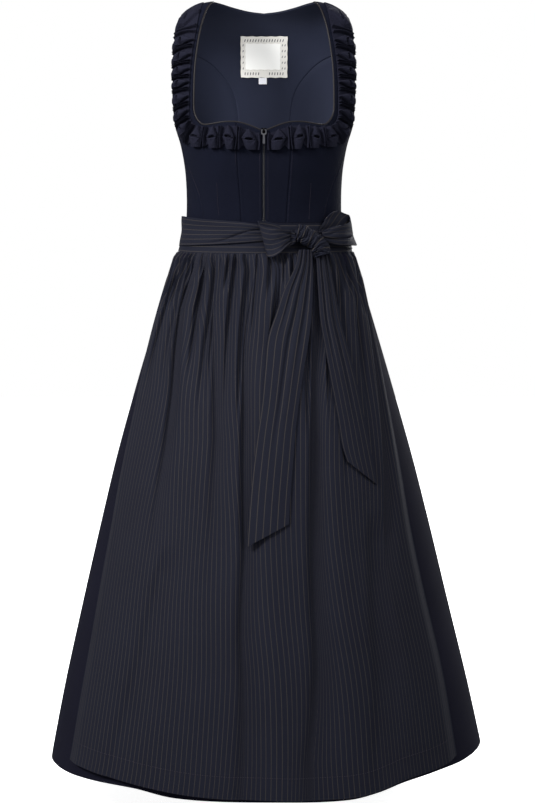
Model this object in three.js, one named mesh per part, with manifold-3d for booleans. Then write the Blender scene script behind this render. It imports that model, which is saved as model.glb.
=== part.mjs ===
// A dirndl as it hangs when worn, hollow, in millimetres.
// The front faces -Y, +X is the right-hand side seen from the front and +Z is up.
// The origin lies midway between the undersides of the two straps at the shoulder.
import * as THREE from 'three';
import { mergeVertices } from 'three/addons/utils/BufferGeometryUtils.js';
import Module from 'manifold-3d';

const wasm = await Module();
wasm.setup();

// Driving sizes of the cloth
const BODICE_WALL = 1.6;
const LINING_WALL = 1.0;
const SKIRT_WALL = 1.6;
const APRON_WALL = 1.5;
const BAND_WALL = 2.2;
const TIE_WALL = 1.8;
const LABEL_WALL = 0.8;
const SEAM_GAP = 0.3;

// Levels, measured down from the shoulder line
const CORNER_DROP = 195;
const ARMHOLE_DROP = 198;
const WAIST_DROP = 356;
const BAND_BOTTOM_DROP = 407;
const SHOULDER_FALL = 0.02;

// Closures and trim
const ZIP_HALF_WIDTH = 2.0;
const COIL_HALF_WIDTH = 1.6;
const COIL_DEPTH = 0.4;
const COIL_TOP_GAP = 2;
const PIPING_RADIUS = 1.2;
const PIPING_SIDES = 6;
const PIPING_TOP_ROW = 0.25;
const PIPING_CORNER_LEAN = { x: -0.6, z: 0.8 };
const RUFFLE_UNITS = 12;
const RUFFLE_CLEARANCE = 0.5;

// How far each layer's outer face stands off the body form
const SKIRT_OUT = 1.0;
const BAND_OUT = 6.0;
const TIE_UNDER_OUT = 6.0;
const TIE_OVER_OUT = 8.5;
const APRON_OUT = 5.2;
const KNOT_OUT = 20;
const TAIL_OUT = 16;

// Grids
const FRONT_COLUMNS = 3;
const NECK_COLUMNS = 5;
const STRAP_COLUMNS = 3;
const BODICE_ROWS = 7;
const STRAP_ROWS = 8;
const SIDE_COLUMNS = 5;
const BACK_HALF_COLUMNS = 7;
const BACK_ROWS = 10;

// The body form that all the cloth follows: half width, front and back depth at each level.
// lean is the sideways shift of the hanging skirt.
const FORM = [
  { drop: 0, halfWidth: 165, front: 0, back: 0, square: 2.3, lean: 0 },
  { drop: 4, halfWidth: 165, front: 18, back: 24, square: 2.3, lean: 0 },
  { drop: 16, halfWidth: 165, front: 34, back: 56, square: 2.3, lean: 0 },
  { drop: 40, halfWidth: 165, front: 52, back: 79, square: 2.3, lean: 0 },
  { drop: 66, halfWidth: 164, front: 64, back: 92, square: 2.3, lean: 0 },
  { drop: 100, halfWidth: 162, front: 77, back: 101, square: 2.3, lean: 0 },
  { drop: 131, halfWidth: 158, front: 88, back: 106, square: 2.3, lean: 0 },
  { drop: 160, halfWidth: 153, front: 98, back: 108, square: 2.3, lean: 0 },
  { drop: 198, halfWidth: 146, front: 108, back: 106, square: 2.3, lean: 0 },
  { drop: 235, halfWidth: 136, front: 114, back: 101, square: 2.3, lean: 0 },
  { drop: 270, halfWidth: 129.5, front: 110, back: 94, square: 2.3, lean: 0 },
  { drop: 300, halfWidth: 127, front: 103, back: 89, square: 2.25, lean: 0 },
  { drop: 330, halfWidth: 126.5, front: 97, back: 86, square: 2.2, lean: 0 },
  { drop: 356, halfWidth: 127, front: 94, back: 86, square: 2.2, lean: 0.6 },
  { drop: 380, halfWidth: 129.5, front: 96, back: 89, square: 2.15, lean: 1.5 },
  { drop: 407, halfWidth: 136, front: 101, back: 95, square: 2.1, lean: 2 },
  { drop: 453, halfWidth: 152.5, front: 116, back: 109, square: 2.05, lean: 2 },
  { drop: 486, halfWidth: 164, front: 127, back: 119, square: 2, lean: 1.6 },
  { drop: 552, halfWidth: 185, front: 146, back: 137, square: 2, lean: 0.6 },
  { drop: 653, halfWidth: 215, front: 174, back: 162, square: 2, lean: 0.4 },
  { drop: 754, halfWidth: 243.5, front: 199, back: 184, square: 2, lean: 0.8 },
  { drop: 855, halfWidth: 269, front: 221, back: 204, square: 2, lean: 1.6 },
  { drop: 992, halfWidth: 302, front: 247, back: 227, square: 2, lean: 2.4 },
  { drop: 1131, halfWidth: 335, front: 266, back: 246, square: 2, lean: 4.1 },
  { drop: 1254, halfWidth: 361, front: 280, back: 260, square: 2, lean: 5.8 },
].map((row) => ({ ...row, fall: Math.sqrt(row.drop) }));

// The shoulders slope down outside the neck point, and the slope fades out below the armhole.
const NECK_POINT_X = 80;
const SHOULDER_SLOPE = 0.0078;
const SLOPE_KEEPS_TO = 20;
const SLOPE_ENDS_AT = 200;

// Room that the darts give over the bust
const CUP = { x: 64, drop: 224, height: 5, width: 40, tall: 44 };

// Front neckline from the zip to the neck corner, then up the strap's inner edge
const NECK_EDGE = [
  { x: 0, drop: 213 },
  { x: 10.5, drop: 208 },
  { x: 27, drop: 201 },
  { x: 43.5, drop: 196.5 },
  { x: 64.5, drop: 196 },
  { x: 83.5, drop: 198.5 },
  { x: 93, drop: 199 },
  { x: 101, drop: CORNER_DROP },
];
const STRAP_INNER = [
  { drop: 0, x: 82.5 },
  { drop: 15, x: 90.4 },
  { drop: 39, x: 97.9 },
  { drop: 63, x: 102.4 },
  { drop: 96, x: 106.7 },
  { drop: 129, x: 108.4 },
  { drop: 154, x: 108.8 },
  { drop: 177, x: 108.8 },
  { drop: 188, x: 106 },
  { drop: CORNER_DROP, x: 101 },
];
const BACK_NECK = [
  { x: 0, drop: 14.5 },
  { x: 24, drop: 12 },
  { x: 50, drop: 7 },
  { x: 70, drop: 2.2 },
  { x: 82.5, drop: 0 },
];
const SHOULDER_OUTER_X = 138;

// Armhole edge as the angle round the form, 0 at the front, 90 at the side, 180 at the back
const ARMHOLE_FRONT = [
  { drop: 0, angle: 56.8 },
  { drop: 10, angle: 59.2 },
  { drop: 30, angle: 61.2 },
  { drop: 70, angle: 63 },
  { drop: 110, angle: 65.8 },
  { drop: 140, angle: 71 },
  { drop: 165, angle: 75.7 },
  { drop: 185, angle: 80.5 },
  { drop: ARMHOLE_DROP, angle: 88 },
];
const ARMHOLE_BACK = [
  { part: 0, angle: 88, drop: ARMHOLE_DROP },
  { part: 0.2, angle: 95.5, drop: 191 },
  { part: 0.4, angle: 104, drop: 169 },
  { part: 0.6, angle: 110.5, drop: 134 },
  { part: 0.8, angle: 115, drop: 92 },
  { part: 1, angle: 117.5, drop: 50 },
];

// Seams from the waist (part 0) to their top (part 1)
const PRINCESS_SEAM = [
  { part: 0, x: 36, drop: WAIST_DROP },
  { part: 0.25, x: 38, drop: 318 },
  { part: 0.5, x: 41, drop: 278 },
  { part: 0.75, x: 43, drop: 238 },
  { part: 1, x: 43.5, drop: 196.5 },
];
const SIDE_FRONT_SEAM = [
  { part: 0, angle: 50.5, drop: WAIST_DROP },
  { part: 0.25, angle: 55, drop: 318 },
  { part: 0.5, angle: 67, drop: 278 },
  { part: 0.75, angle: 79.5, drop: 238 },
  { part: 1, angle: 88, drop: ARMHOLE_DROP },
];
const BACK_SEAM = [
  { part: 0, angle: 164, drop: WAIST_DROP },
  { part: 0.3, angle: 163.5, drop: 262 },
  { part: 0.5, angle: 163, drop: 195 },
  { part: 0.65, angle: 160.5, drop: 142 },
  { part: 0.76, angle: 152, drop: 108 },
  { part: 0.86, angle: 140, drop: 83 },
  { part: 1, angle: 117.5, drop: 50 },
];
const BACK_STRAP_OUTER = [
  { drop: 0, angle: 123.2 },
  { drop: 10, angle: 120.8 },
  { drop: 30, angle: 118.8 },
  { drop: 50, angle: 117.5 },
];

// Ruffle band from the zip (unit 0) round the neck corner to the shoulder (unit 12)
const RUFFLE_BAND = [
  { unit: 0, innerX: 5.4, innerDrop: 216, outerX: 5.4, outerDrop: 240 },
  { unit: 1, innerX: 42, innerDrop: 200, outerX: 42, outerDrop: 239 },
  { unit: 2, innerX: 69, innerDrop: 200, outerX: 71, outerDrop: 237 },
  { unit: 3, innerX: 92, innerDrop: 203, outerX: 98, outerDrop: 237 },
  { unit: 4, innerX: 106, innerDrop: 198, outerX: 124, outerDrop: 230 },
  { unit: 5, innerX: 112, innerDrop: 186, outerX: 139, outerDrop: 204 },
  { unit: 6, innerX: 113, innerDrop: 164, outerX: 143.5, outerDrop: 174 },
  { unit: 7, innerX: 113, innerDrop: 141, outerX: 145, outerDrop: 146 },
  { unit: 8, innerX: 112.5, innerDrop: 118, outerX: 145.5, outerDrop: 118 },
  { unit: 9, innerX: 111, innerDrop: 94, outerX: 145.5, outerDrop: 90 },
  { unit: 10, innerX: 108, innerDrop: 69, outerX: 145, outerDrop: 62 },
  { unit: 11, innerX: 103, innerDrop: 43, outerX: 143.5, outerDrop: 33 },
  { unit: 12, innerX: 95, innerDrop: 0.5, outerX: 136, outerDrop: 0.5 },
].map((row) => ({ ...row, innerFall: Math.sqrt(row.innerDrop), outerFall: Math.sqrt(row.outerDrop) }));
// Height of one pinched pleat unit over its base: along the band, and across it from edge to edge
const RUFFLE_ALONG = [0, 0.2, 0.5, 0.8];
const RUFFLE_ACROSS = [0, 0.25, 0.5, 0.75, 1];
const RUFFLE_HEIGHTS = [
  { along: 0, edge: 3.2, quarter: 4.2, middle: 6.8 },
  { along: 0.2, edge: 5.2, quarter: 5.6, middle: 4.2 },
  { along: 0.5, edge: 4.8, quarter: 8, middle: 3.4 },
  { along: 0.8, edge: 5.2, quarter: 5.6, middle: 4.2 },
];

// Skirt and apron
const SKIRT_GATHER = { height: 1.3, reach: 150 };
const SKIRT_HEM = [
  { angle: -180, drop: 1250 },
  { angle: -90, drop: 1255 },
  { angle: -69, drop: 1252 },
  { angle: -54, drop: 1249 },
  { angle: -36, drop: 1245 },
  { angle: -24, drop: 1251 },
  { angle: 0, drop: 1250 },
  { angle: 21, drop: 1252 },
  { angle: 29, drop: 1246 },
  { angle: 38, drop: 1236 },
  { angle: 58, drop: 1230 },
  { angle: 82, drop: 1230 },
  { angle: 120, drop: 1244 },
  { angle: 180, drop: 1250 },
];
const SKIRT_BACK_FOLDS = [
  { angle: 108, width: 9, height: 7 },
  { angle: 131, width: 7, height: 10 },
  { angle: 152, width: 8, height: 7 },
  { angle: 171, width: 6, height: 11 },
  { angle: 193, width: 8, height: 9 },
  { angle: 214, width: 7, height: 7 },
  { angle: 232, width: 6, height: 11 },
  { angle: 252, width: 8, height: 6 },
];
const APRON_EDGE = [
  { drop: 407, left: -88, right: 86 },
  { drop: 520, left: -80, right: 75 },
  { drop: 650, left: -72, right: 66.5 },
  { drop: 827, left: -66.7, right: 60 },
  { drop: 935, left: -65, right: 59.5 },
  { drop: 1060, left: -63.5, right: 60.5 },
  { drop: 1210, left: -63, right: 59 },
  { drop: 1245, left: -63.5, right: 59 },
];
const APRON_HEM = [
  { across: 0, drop: 1229 },
  { across: 0.15, drop: 1233 },
  { across: 0.25, drop: 1237 },
  { across: 0.37, drop: 1243 },
  { across: 0.5, drop: 1245 },
  { across: 0.68, drop: 1247 },
  { across: 0.75, drop: 1242 },
  { across: 0.82, drop: 1230 },
  { across: 0.92, drop: 1224 },
  { across: 1, drop: 1217 },
];
const APRON_GATHER = { waves: 32, height: 3.2, reach: 90 };
const APRON_SWELL = { top: 2.6, hem: 6, fullAt: 800 };
const VALLEY_FADE = { from: 0.6, to: 1.4 };
const APRON_VALLEYS = [
  { top: 0.13, hem: 0.15, width: 0.022, depth: 0.9, reach: 420 },
  { top: 0.19, hem: 0.22, width: 0.016, depth: 0.6, reach: 260 },
  { top: 0.31, hem: 0.35, width: 0.035, depth: 0.6, reach: 500 },
  { top: 0.416, hem: 0.456, width: 0.02, depth: 1, reach: 900 },
  { top: 0.52, hem: 0.53, width: 0.018, depth: 0.6, reach: 200 },
  { top: 0.76, hem: 0.63, width: 0.024, depth: 0.9, reach: 900 },
  { top: 0.83, hem: 0.81, width: 0.02, depth: 0.7, reach: 700 },
  { top: 0.93, hem: 0.92, width: 0.018, depth: 0.8, reach: 330 },
];

// Bands round the waist: edges and layer at each angle
const WAISTBAND_HALF_ANGLE = 97;
const TIE_RIGHT = [
  { angle: 97.3, top: 357, bottom: 406, out: TIE_UNDER_OUT },
  { angle: 112, top: 352, bottom: 396, out: TIE_UNDER_OUT },
  { angle: 130, top: 346, bottom: 376, out: TIE_UNDER_OUT },
  { angle: 150, top: 347, bottom: 377, out: TIE_OVER_OUT },
  { angle: 165, top: 353, bottom: 386, out: TIE_OVER_OUT },
  { angle: 180, top: 360, bottom: 396, out: TIE_OVER_OUT },
  { angle: 200, top: 366, bottom: 405, out: TIE_OVER_OUT },
  { angle: 230, top: 362, bottom: 406, out: TIE_OVER_OUT },
  { angle: 263, top: 350, bottom: 400, out: TIE_OVER_OUT },
  { angle: 280, top: 347, bottom: 397, out: TIE_OVER_OUT },
  { angle: 310, top: 350, bottom: 394, out: TIE_OVER_OUT },
  { angle: 345, top: 355, bottom: 389, out: TIE_OVER_OUT },
  { angle: 360, top: 361, bottom: 386, out: TIE_OVER_OUT },
  { angle: 387, top: 371, bottom: 388, out: TIE_OVER_OUT },
];
const TIE_LEFT = [
  { angle: 33, top: 372, bottom: 392, out: TIE_OVER_OUT },
  { angle: 55, top: 360, bottom: 399, out: TIE_OVER_OUT },
  { angle: 80, top: 352, bottom: 402, out: TIE_OVER_OUT },
  { angle: 97, top: 356, bottom: 405, out: TIE_OVER_OUT },
  { angle: 112, top: 366, bottom: 406, out: TIE_OVER_OUT },
  { angle: 130, top: 379, bottom: 409, out: TIE_OVER_OUT },
  { angle: 150, top: 380, bottom: 409, out: TIE_UNDER_OUT },
  { angle: 165, top: 373, bottom: 403, out: TIE_UNDER_OUT },
  { angle: 180, top: 364, bottom: 396, out: TIE_UNDER_OUT },
  { angle: 200, top: 354, bottom: 385, out: TIE_UNDER_OUT },
  { angle: 230, top: 351, bottom: 390, out: TIE_UNDER_OUT },
  { angle: 262.7, top: 357, bottom: 406, out: TIE_UNDER_OUT },
];

// Bow: each loop goes out in its back layer, turns, and comes back in its front layer
const LOOP_LEFT = [
  { angle: 20.4, out: 13.2, top: 374, bottom: 391 },
  { angle: 13.5, out: 11, top: 366, bottom: 398 },
  { angle: 8, out: 11, top: 360, bottom: 405 },
  { angle: 2.5, out: 11.5, top: 356, bottom: 411 },
  { angle: -0.6, out: 13.5, top: 356, bottom: 413 },
  { angle: -1.8, out: 17, top: 358, bottom: 413 },
  { angle: -0.6, out: 21, top: 360, bottom: 412 },
  { angle: 3.2, out: 24.5, top: 362, bottom: 409 },
  { angle: 8, out: 25, top: 365, bottom: 405 },
  { angle: 12.5, out: 22.5, top: 370, bottom: 398 },
  { angle: 17.6, out: 18.5, top: 376, bottom: 391 },
];
const LOOP_RIGHT = [
  { angle: 39, out: 13, top: 371, bottom: 381 },
  { angle: 46, out: 11, top: 359, bottom: 388 },
  { angle: 54, out: 11, top: 345, bottom: 394 },
  { angle: 64, out: 11, top: 342, bottom: 397 },
  { angle: 73, out: 12.5, top: 344, bottom: 398 },
  { angle: 77.5, out: 16.5, top: 347, bottom: 399 },
  { angle: 74, out: 20.5, top: 350, bottom: 399 },
  { angle: 64, out: 23.5, top: 352, bottom: 398 },
  { angle: 54, out: 24, top: 356, bottom: 396 },
  { angle: 46, out: 21, top: 364, bottom: 390 },
  { angle: 40, out: 17.5, top: 373, bottom: 382.5 },
];
const KNOT = [
  { x: 53, drop: 371, radius: 8 },
  { x: 60, drop: 375, radius: 12.5 },
  { x: 71, drop: 382, radius: 14 },
  { x: 82, drop: 390, radius: 13.5 },
  { x: 92, drop: 399, radius: 12.5 },
  { x: 98, drop: 406, radius: 9 },
];
const KNOT_DEPTH_SHARE = 0.82;
const KNOT_SIDES = 10;
const LOOP_ROWS = 3;
const TAIL_COLUMNS = 3;
const TAIL_BELLY = 1.6;
const TAIL_LONG = [
  { drop: 403.5, left: 56, right: 77, lift: 3 },
  { drop: 430, left: 50, right: 78, lift: 1 },
  { drop: 464, left: 33, right: 78, lift: 0 },
  { drop: 500, left: 20, right: 76, lift: 0 },
  { drop: 538, left: 7, right: 72, lift: 0 },
  { drop: 585, left: 2, right: 64, lift: 0 },
  { drop: 636, left: -3, right: 56, lift: 0 },
  { drop: 680, left: -10, right: 50, lift: 0 },
  { drop: 729, left: -17, right: 46, lift: 0 },
  { drop: 776, left: -22, right: 42, lift: 0 },
  { drop: 824, left: -26, right: 39, lift: 0 },
];
const TAIL_LONG_POINT = 34;
const TAIL_SHORT = [
  { drop: 412.8, left: 84, right: 102, lift: 3 },
  { drop: 435, left: 85, right: 107, lift: 1 },
  { drop: 470, left: 87, right: 114, lift: 0 },
  { drop: 513, left: 90, right: 122, lift: 0 },
  { drop: 555, left: 97, right: 134, lift: 0 },
  { drop: 600, left: 105, right: 147, lift: 0 },
  { drop: 664, left: 117, right: 163, lift: 0 },
  { drop: 708, left: 124, right: 174, lift: 0 },
  { drop: 733, left: 132, right: 180, lift: 0 },
];
const TAIL_SHORT_POINT = 40;

// Labels inside the back neck
const NECK_LABEL = { halfWidth: 39.5, top: 48, bottom: 116, out: -3.9 };
const SIZE_LABEL = { left: -9, right: 4.5, top: 116.4, bottom: 127, out: -3.9 };

// Zip slider and its pull
const SLIDER = { drop: 211.5, width: 9.4, height: 9, thickness: 2.1, standOff: 2.4, corner: 2.4 };
const BRIDGE = { width: 2.4, radius: 2.6, eye: 1.35, rise: 1.4 };
const STEM = { width: 2.2, depth: 3 };
const PULL = { outer: 8.4, inner: 5.0, ringHeight: 7.8, bar: 1.3, thickness: 1.2, tabTop: 2.4,
  tabEnd: 3.8, length: 22.5, shoulder: 2, neck: 0.6, endRound: 1.2, eyeRound: 2.4 };

const COLOURS = {
  wool: 0x1b1d27, lining: 0x262a38, piping: 0x413a3c, skirt: 0x1a1a24, apron: 0x22232d,
  tie: 0x292b37, label: 0xe6e4e0, sizeLabel: 0xd4d5d9, coil: 0x101014, metal: 0x7d7d82,
};

const degrees = THREE.MathUtils.degToRad;

// Smooth curve through a table's rows, read at one value of its key column
function along(table, key, at, column) {
  const last = table.length - 1;
  let row = 0;
  while (row < last - 1 && at > table[row + 1][key]) row += 1;
  const slope = (k) => {
    const before = table[Math.max(k - 1, 0)];
    const after = table[Math.min(k + 1, last)];
    return (after[column] - before[column]) / (after[key] - before[key]);
  };
  const [start, end] = [table[row], table[row + 1]];
  const span = end[key] - start[key];
  const t = THREE.MathUtils.clamp((at - start[key]) / span, 0, 1);
  const ease = t * t * (3 - 2 * t);
  const rise = t * (1 - t) * (1 - t) * span * slope(row);
  const arrive = t * t * (t - 1) * span * slope(row + 1);
  return start[column] * (1 - ease) + end[column] * ease + rise + arrive;
}

// Straight lines between a table's rows
function straight(table, key, at, column) {
  const row = Math.max(table.findLastIndex((line) => line[key] <= at), 0);
  const [start, end] = [table[row], table[Math.min(row + 1, table.length - 1)]];
  if (start === end) return start[column];
  const t = THREE.MathUtils.clamp((at - start[key]) / (end[key] - start[key]), 0, 1);
  return THREE.MathUtils.lerp(start[column], end[column], t);
}

// Drop of the sloping shoulder line under the straight one
function shoulderSlope(x, drop) {
  const outside = Math.max(Math.abs(x) - NECK_POINT_X, 0);
  const kept = 1 - THREE.MathUtils.smoothstep(drop, SLOPE_KEEPS_TO, SLOPE_ENDS_AT);
  return -SHOULDER_SLOPE * outside * outside * kept;
}

function cupLift(x, drop) {
  const sideways = (Math.abs(x) - CUP.x) / CUP.width;
  const upright = (drop - CUP.drop) / CUP.tall;
  return CUP.height * Math.exp(-sideways * sideways - upright * upright);
}

// Point on the body form; theta runs from the front towards +X, fall is the root of the drop
function formPoint(theta, fall) {
  const drop = fall * fall;
  const front = Math.cos(theta) >= 0;
  const width = along(FORM, 'fall', fall, 'halfWidth');
  const depth = along(FORM, 'fall', fall, front ? 'front' : 'back');
  const square = along(FORM, 'fall', fall, 'square');
  const share = Math.min(Math.abs(Math.sin(theta)), 1);
  const round = Math.max(1 - share ** square, 0) ** (1 / square);
  const x = width * Math.sin(theta);
  const y = front ? -(depth + cupLift(x, drop)) * round : depth * round;
  const z = BODICE_WALL - drop + shoulderSlope(x, drop);
  return new THREE.Vector3(x + along(FORM, 'fall', fall, 'lean'), y, z);
}

const NORMAL_STEP = 0.004;
const STAND_OFF_PASSES = 6;

// Point that stands off the form along its outward normal
function form(theta, drop, out = 0) {
  const fall = Math.sqrt(Math.max(drop, 0));
  const point = formPoint(theta, fall);
  if (out === 0) return point;
  const down = formPoint(theta, fall + NORMAL_STEP).sub(formPoint(theta, Math.max(fall - NORMAL_STEP, 0)));
  const round = formPoint(theta + NORMAL_STEP, fall).sub(formPoint(theta - NORMAL_STEP, fall));
  return point.addScaledVector(down.cross(round).normalize(), out);
}

function thetaAt(x, drop) {
  const fall = Math.sqrt(Math.max(drop, 0));
  const width = along(FORM, 'fall', fall, 'halfWidth');
  const share = (x - along(FORM, 'fall', fall, 'lean')) / width;
  return Math.asin(THREE.MathUtils.clamp(share, -1, 1));
}

// Angle at which a point that stands off the form has the given x
function thetaFor(x, drop, out) {
  let theta = thetaAt(x, drop);
  for (let pass = 0; pass < STAND_OFF_PASSES; pass += 1) {
    const shift = form(theta, drop, out).x - form(theta, drop).x;
    theta = thetaAt(x - shift, drop);
  }
  return theta;
}

// Closed cloth wall from a grid of outer points and the matching grid of inner points.
// Rows run down and columns run towards +X at the front; keep leaves cells out.
function clothWall(outer, inner, keep = () => true) {
  const rows = outer.length - 1;
  const columns = outer[0].length - 1;
  const positions = [];
  const numbers = new Map();
  const index = [];
  const vertex = (layer, i, j) => {
    const key = `${layer}:${i}:${j}`;
    if (!numbers.has(key)) {
      numbers.set(key, positions.length / 3);
      const point = (layer === 0 ? outer : inner)[i][j];
      positions.push(point.x, point.y, point.z);
    }
    return numbers.get(key);
  };
  const present = (i, j) => i >= 0 && j >= 0 && i < rows && j < columns && keep(i, j);
  const rim = (i0, j0, i1, j1) => {
    const [a, b] = [vertex(0, i0, j0), vertex(0, i1, j1)];
    const [c, d] = [vertex(1, i0, j0), vertex(1, i1, j1)];
    index.push(b, a, c, b, c, d);
  };
  for (let i = 0; i < rows; i += 1) {
    for (let j = 0; j < columns; j += 1) {
      if (!present(i, j)) continue;
      const [a, b, c, d] = [vertex(0, i, j), vertex(0, i + 1, j), vertex(0, i + 1, j + 1), vertex(0, i, j + 1)];
      const [e, f, g, h] = [vertex(1, i, j), vertex(1, i + 1, j), vertex(1, i + 1, j + 1), vertex(1, i, j + 1)];
      index.push(a, b, c, a, c, d, e, g, f, e, h, g);
      if (!present(i, j - 1)) rim(i, j, i + 1, j);
      if (!present(i + 1, j)) rim(i + 1, j, i + 1, j + 1);
      if (!present(i, j + 1)) rim(i + 1, j + 1, i, j + 1);
      if (!present(i - 1, j)) rim(i, j + 1, i, j);
    }
  }
  const geometry = new THREE.BufferGeometry();
  geometry.setAttribute('position', new THREE.Float32BufferAttribute(positions, 3));
  geometry.setIndex(index);
  return geometry;
}

// Cloth that lies on the form: place gives theta, drop and stand-off of each grid point
function panel(rows, columns, wall, place, keep) {
  const layer = (depth) => Array.from({ length: rows + 1 }, (_, i) => (
    Array.from({ length: columns + 1 }, (_, j) => {
      const spot = place(i, j);
      return form(spot.theta, spot.drop, (spot.out ?? 0) - depth);
    })
  ));
  return clothWall(layer(0), layer(wall), keep);
}

// The same piece for the other side of the body
function mirrored(geometry) {
  const copy = geometry.clone();
  const position = copy.getAttribute('position');
  for (let i = 0; i < position.count; i += 1) position.setX(i, -position.getX(i));
  const index = Array.from(copy.getIndex().array);
  for (let i = 0; i < index.length; i += 3) [index[i + 1], index[i + 2]] = [index[i + 2], index[i + 1]];
  copy.setIndex(index);
  return copy;
}

const group = new THREE.Group();

function add(name, geometry, colour, roughness = 0.9, metalness = 0) {
  geometry.computeVertexNormals();
  const material = new THREE.MeshStandardMaterial({ color: colour, roughness, metalness });
  material.name = `${name}_material`;
  const mesh = new THREE.Mesh(geometry, material);
  mesh.name = name;
  group.add(mesh);
  return mesh;
}

function addPair(stem, geometry, colour, roughness) {
  add(`${stem}_right`, geometry, colour, roughness);
  add(`${stem}_left`, mirrored(geometry), colour, roughness);
}

// Bodice
function seamSpot(seam, part) {
  const drop = along(seam, 'part', part, 'drop');
  const theta = 'x' in seam[0]
    ? thetaAt(along(seam, 'part', part, 'x'), drop)
    : degrees(along(seam, 'part', part, 'angle'));
  return { theta, drop };
}

// Moves a spot sideways by a distance in millimetres along the form
function sidestep(spot, distance) {
  const here = form(spot.theta, spot.drop);
  const next = form(spot.theta + NORMAL_STEP, spot.drop);
  return { ...spot, theta: spot.theta + (distance * NORMAL_STEP) / here.distanceTo(next) };
}

function between(a, b, t) {
  const fall = THREE.MathUtils.lerp(Math.sqrt(a.drop), Math.sqrt(b.drop), t);
  return { theta: THREE.MathUtils.lerp(a.theta, b.theta, t), drop: fall * fall };
}

const SEAM_SHARE = 0.7 * SEAM_GAP;

function neckSpot(x) {
  const drop = along(NECK_EDGE, 'x', x, 'drop');
  return { theta: thetaAt(x, drop), drop };
}

function strapDrop(row) {
  const fall = THREE.MathUtils.lerp(SHOULDER_FALL, Math.sqrt(CORNER_DROP), row / STRAP_ROWS);
  return fall * fall;
}

function strapInnerSpot(row) {
  const drop = strapDrop(row);
  return { theta: thetaAt(along(STRAP_INNER, 'drop', drop, 'x'), drop), drop };
}

function strapOuterSpot(row) {
  const fall = THREE.MathUtils.lerp(SHOULDER_FALL, Math.sqrt(ARMHOLE_DROP), row / STRAP_ROWS);
  return { theta: degrees(along(ARMHOLE_FRONT, 'drop', fall * fall, 'angle')), drop: fall * fall };
}

const princessTopX = PRINCESS_SEAM.at(-1).x;
const cornerX = NECK_EDGE.at(-1).x;

function centerFront() {
  return panel(BODICE_ROWS, FRONT_COLUMNS, BODICE_WALL, (i, j) => {
    const part = 1 - i / BODICE_ROWS;
    const seam = sidestep(seamSpot(PRINCESS_SEAM, part), -SEAM_SHARE);
    const top = neckSpot(ZIP_HALF_WIDTH);
    const drop = THREE.MathUtils.lerp(WAIST_DROP, top.drop, part);
    const edge = { theta: thetaAt(ZIP_HALF_WIDTH, drop), drop };
    const spot = between(edge, seam, j / FRONT_COLUMNS);
    if (i > 0) return spot;
    const x = THREE.MathUtils.lerp(ZIP_HALF_WIDTH, princessTopX, j / FRONT_COLUMNS);
    return { theta: spot.theta, drop: neckSpot(x).drop };
  });
}

function sideFront() {
  const columns = NECK_COLUMNS + STRAP_COLUMNS;
  const rows = STRAP_ROWS + BODICE_ROWS;
  const topSpot = (j) => {
    if (j > NECK_COLUMNS) {
      return between(strapInnerSpot(STRAP_ROWS), strapOuterSpot(STRAP_ROWS), (j - NECK_COLUMNS) / STRAP_COLUMNS);
    }
    return neckSpot(THREE.MathUtils.lerp(princessTopX, cornerX, j / NECK_COLUMNS));
  };
  const place = (i, j) => {
    if (i <= STRAP_ROWS) {
      const across = Math.max(j - NECK_COLUMNS, 0) / STRAP_COLUMNS;
      if (i < STRAP_ROWS) return between(strapInnerSpot(i), strapOuterSpot(i), across);
      if (j > 0 && j < columns) return topSpot(j);
      return sidestep(topSpot(j), j === 0 ? SEAM_SHARE : -SEAM_SHARE);
    }
    const part = 1 - (i - STRAP_ROWS) / BODICE_ROWS;
    const inner = sidestep(seamSpot(PRINCESS_SEAM, part), SEAM_SHARE);
    const outer = sidestep(seamSpot(SIDE_FRONT_SEAM, part), -SEAM_SHARE);
    const waist = j / columns;
    const topStart = topSpot(0);
    const topSpan = topSpot(columns).theta - topStart.theta;
    const share = THREE.MathUtils.lerp(waist, (topSpot(j).theta - topStart.theta) / topSpan, part);
    const spot = between(inner, outer, share);
    const lift = topSpot(j).drop - between(topStart, topSpot(columns), share).drop;
    return { theta: spot.theta, drop: spot.drop + lift * part };
  };
  return panel(rows, columns, BODICE_WALL, place, (i, j) => i >= STRAP_ROWS || j >= NECK_COLUMNS);
}

function sideBack(wall, out) {
  return panel(BODICE_ROWS, SIDE_COLUMNS, wall, (i, j) => {
    const part = 1 - i / BODICE_ROWS;
    const across = j / SIDE_COLUMNS;
    const start = sidestep(seamSpot(SIDE_FRONT_SEAM, part), SEAM_SHARE);
    const end = sidestep(seamSpot(BACK_SEAM, part), -SEAM_SHARE);
    const spot = between(start, end, across);
    const top = between(seamSpot(SIDE_FRONT_SEAM, 1), seamSpot(BACK_SEAM, 1), across);
    const armhole = {
      angle: along(ARMHOLE_BACK, 'part', across, 'angle'),
      drop: along(ARMHOLE_BACK, 'part', across, 'drop'),
    };
    const reach = part ** 2;
    return {
      theta: spot.theta + (degrees(armhole.angle) - top.theta) * reach,
      drop: spot.drop + (armhole.drop - top.drop) * reach,
      out,
    };
  });
}

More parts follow.
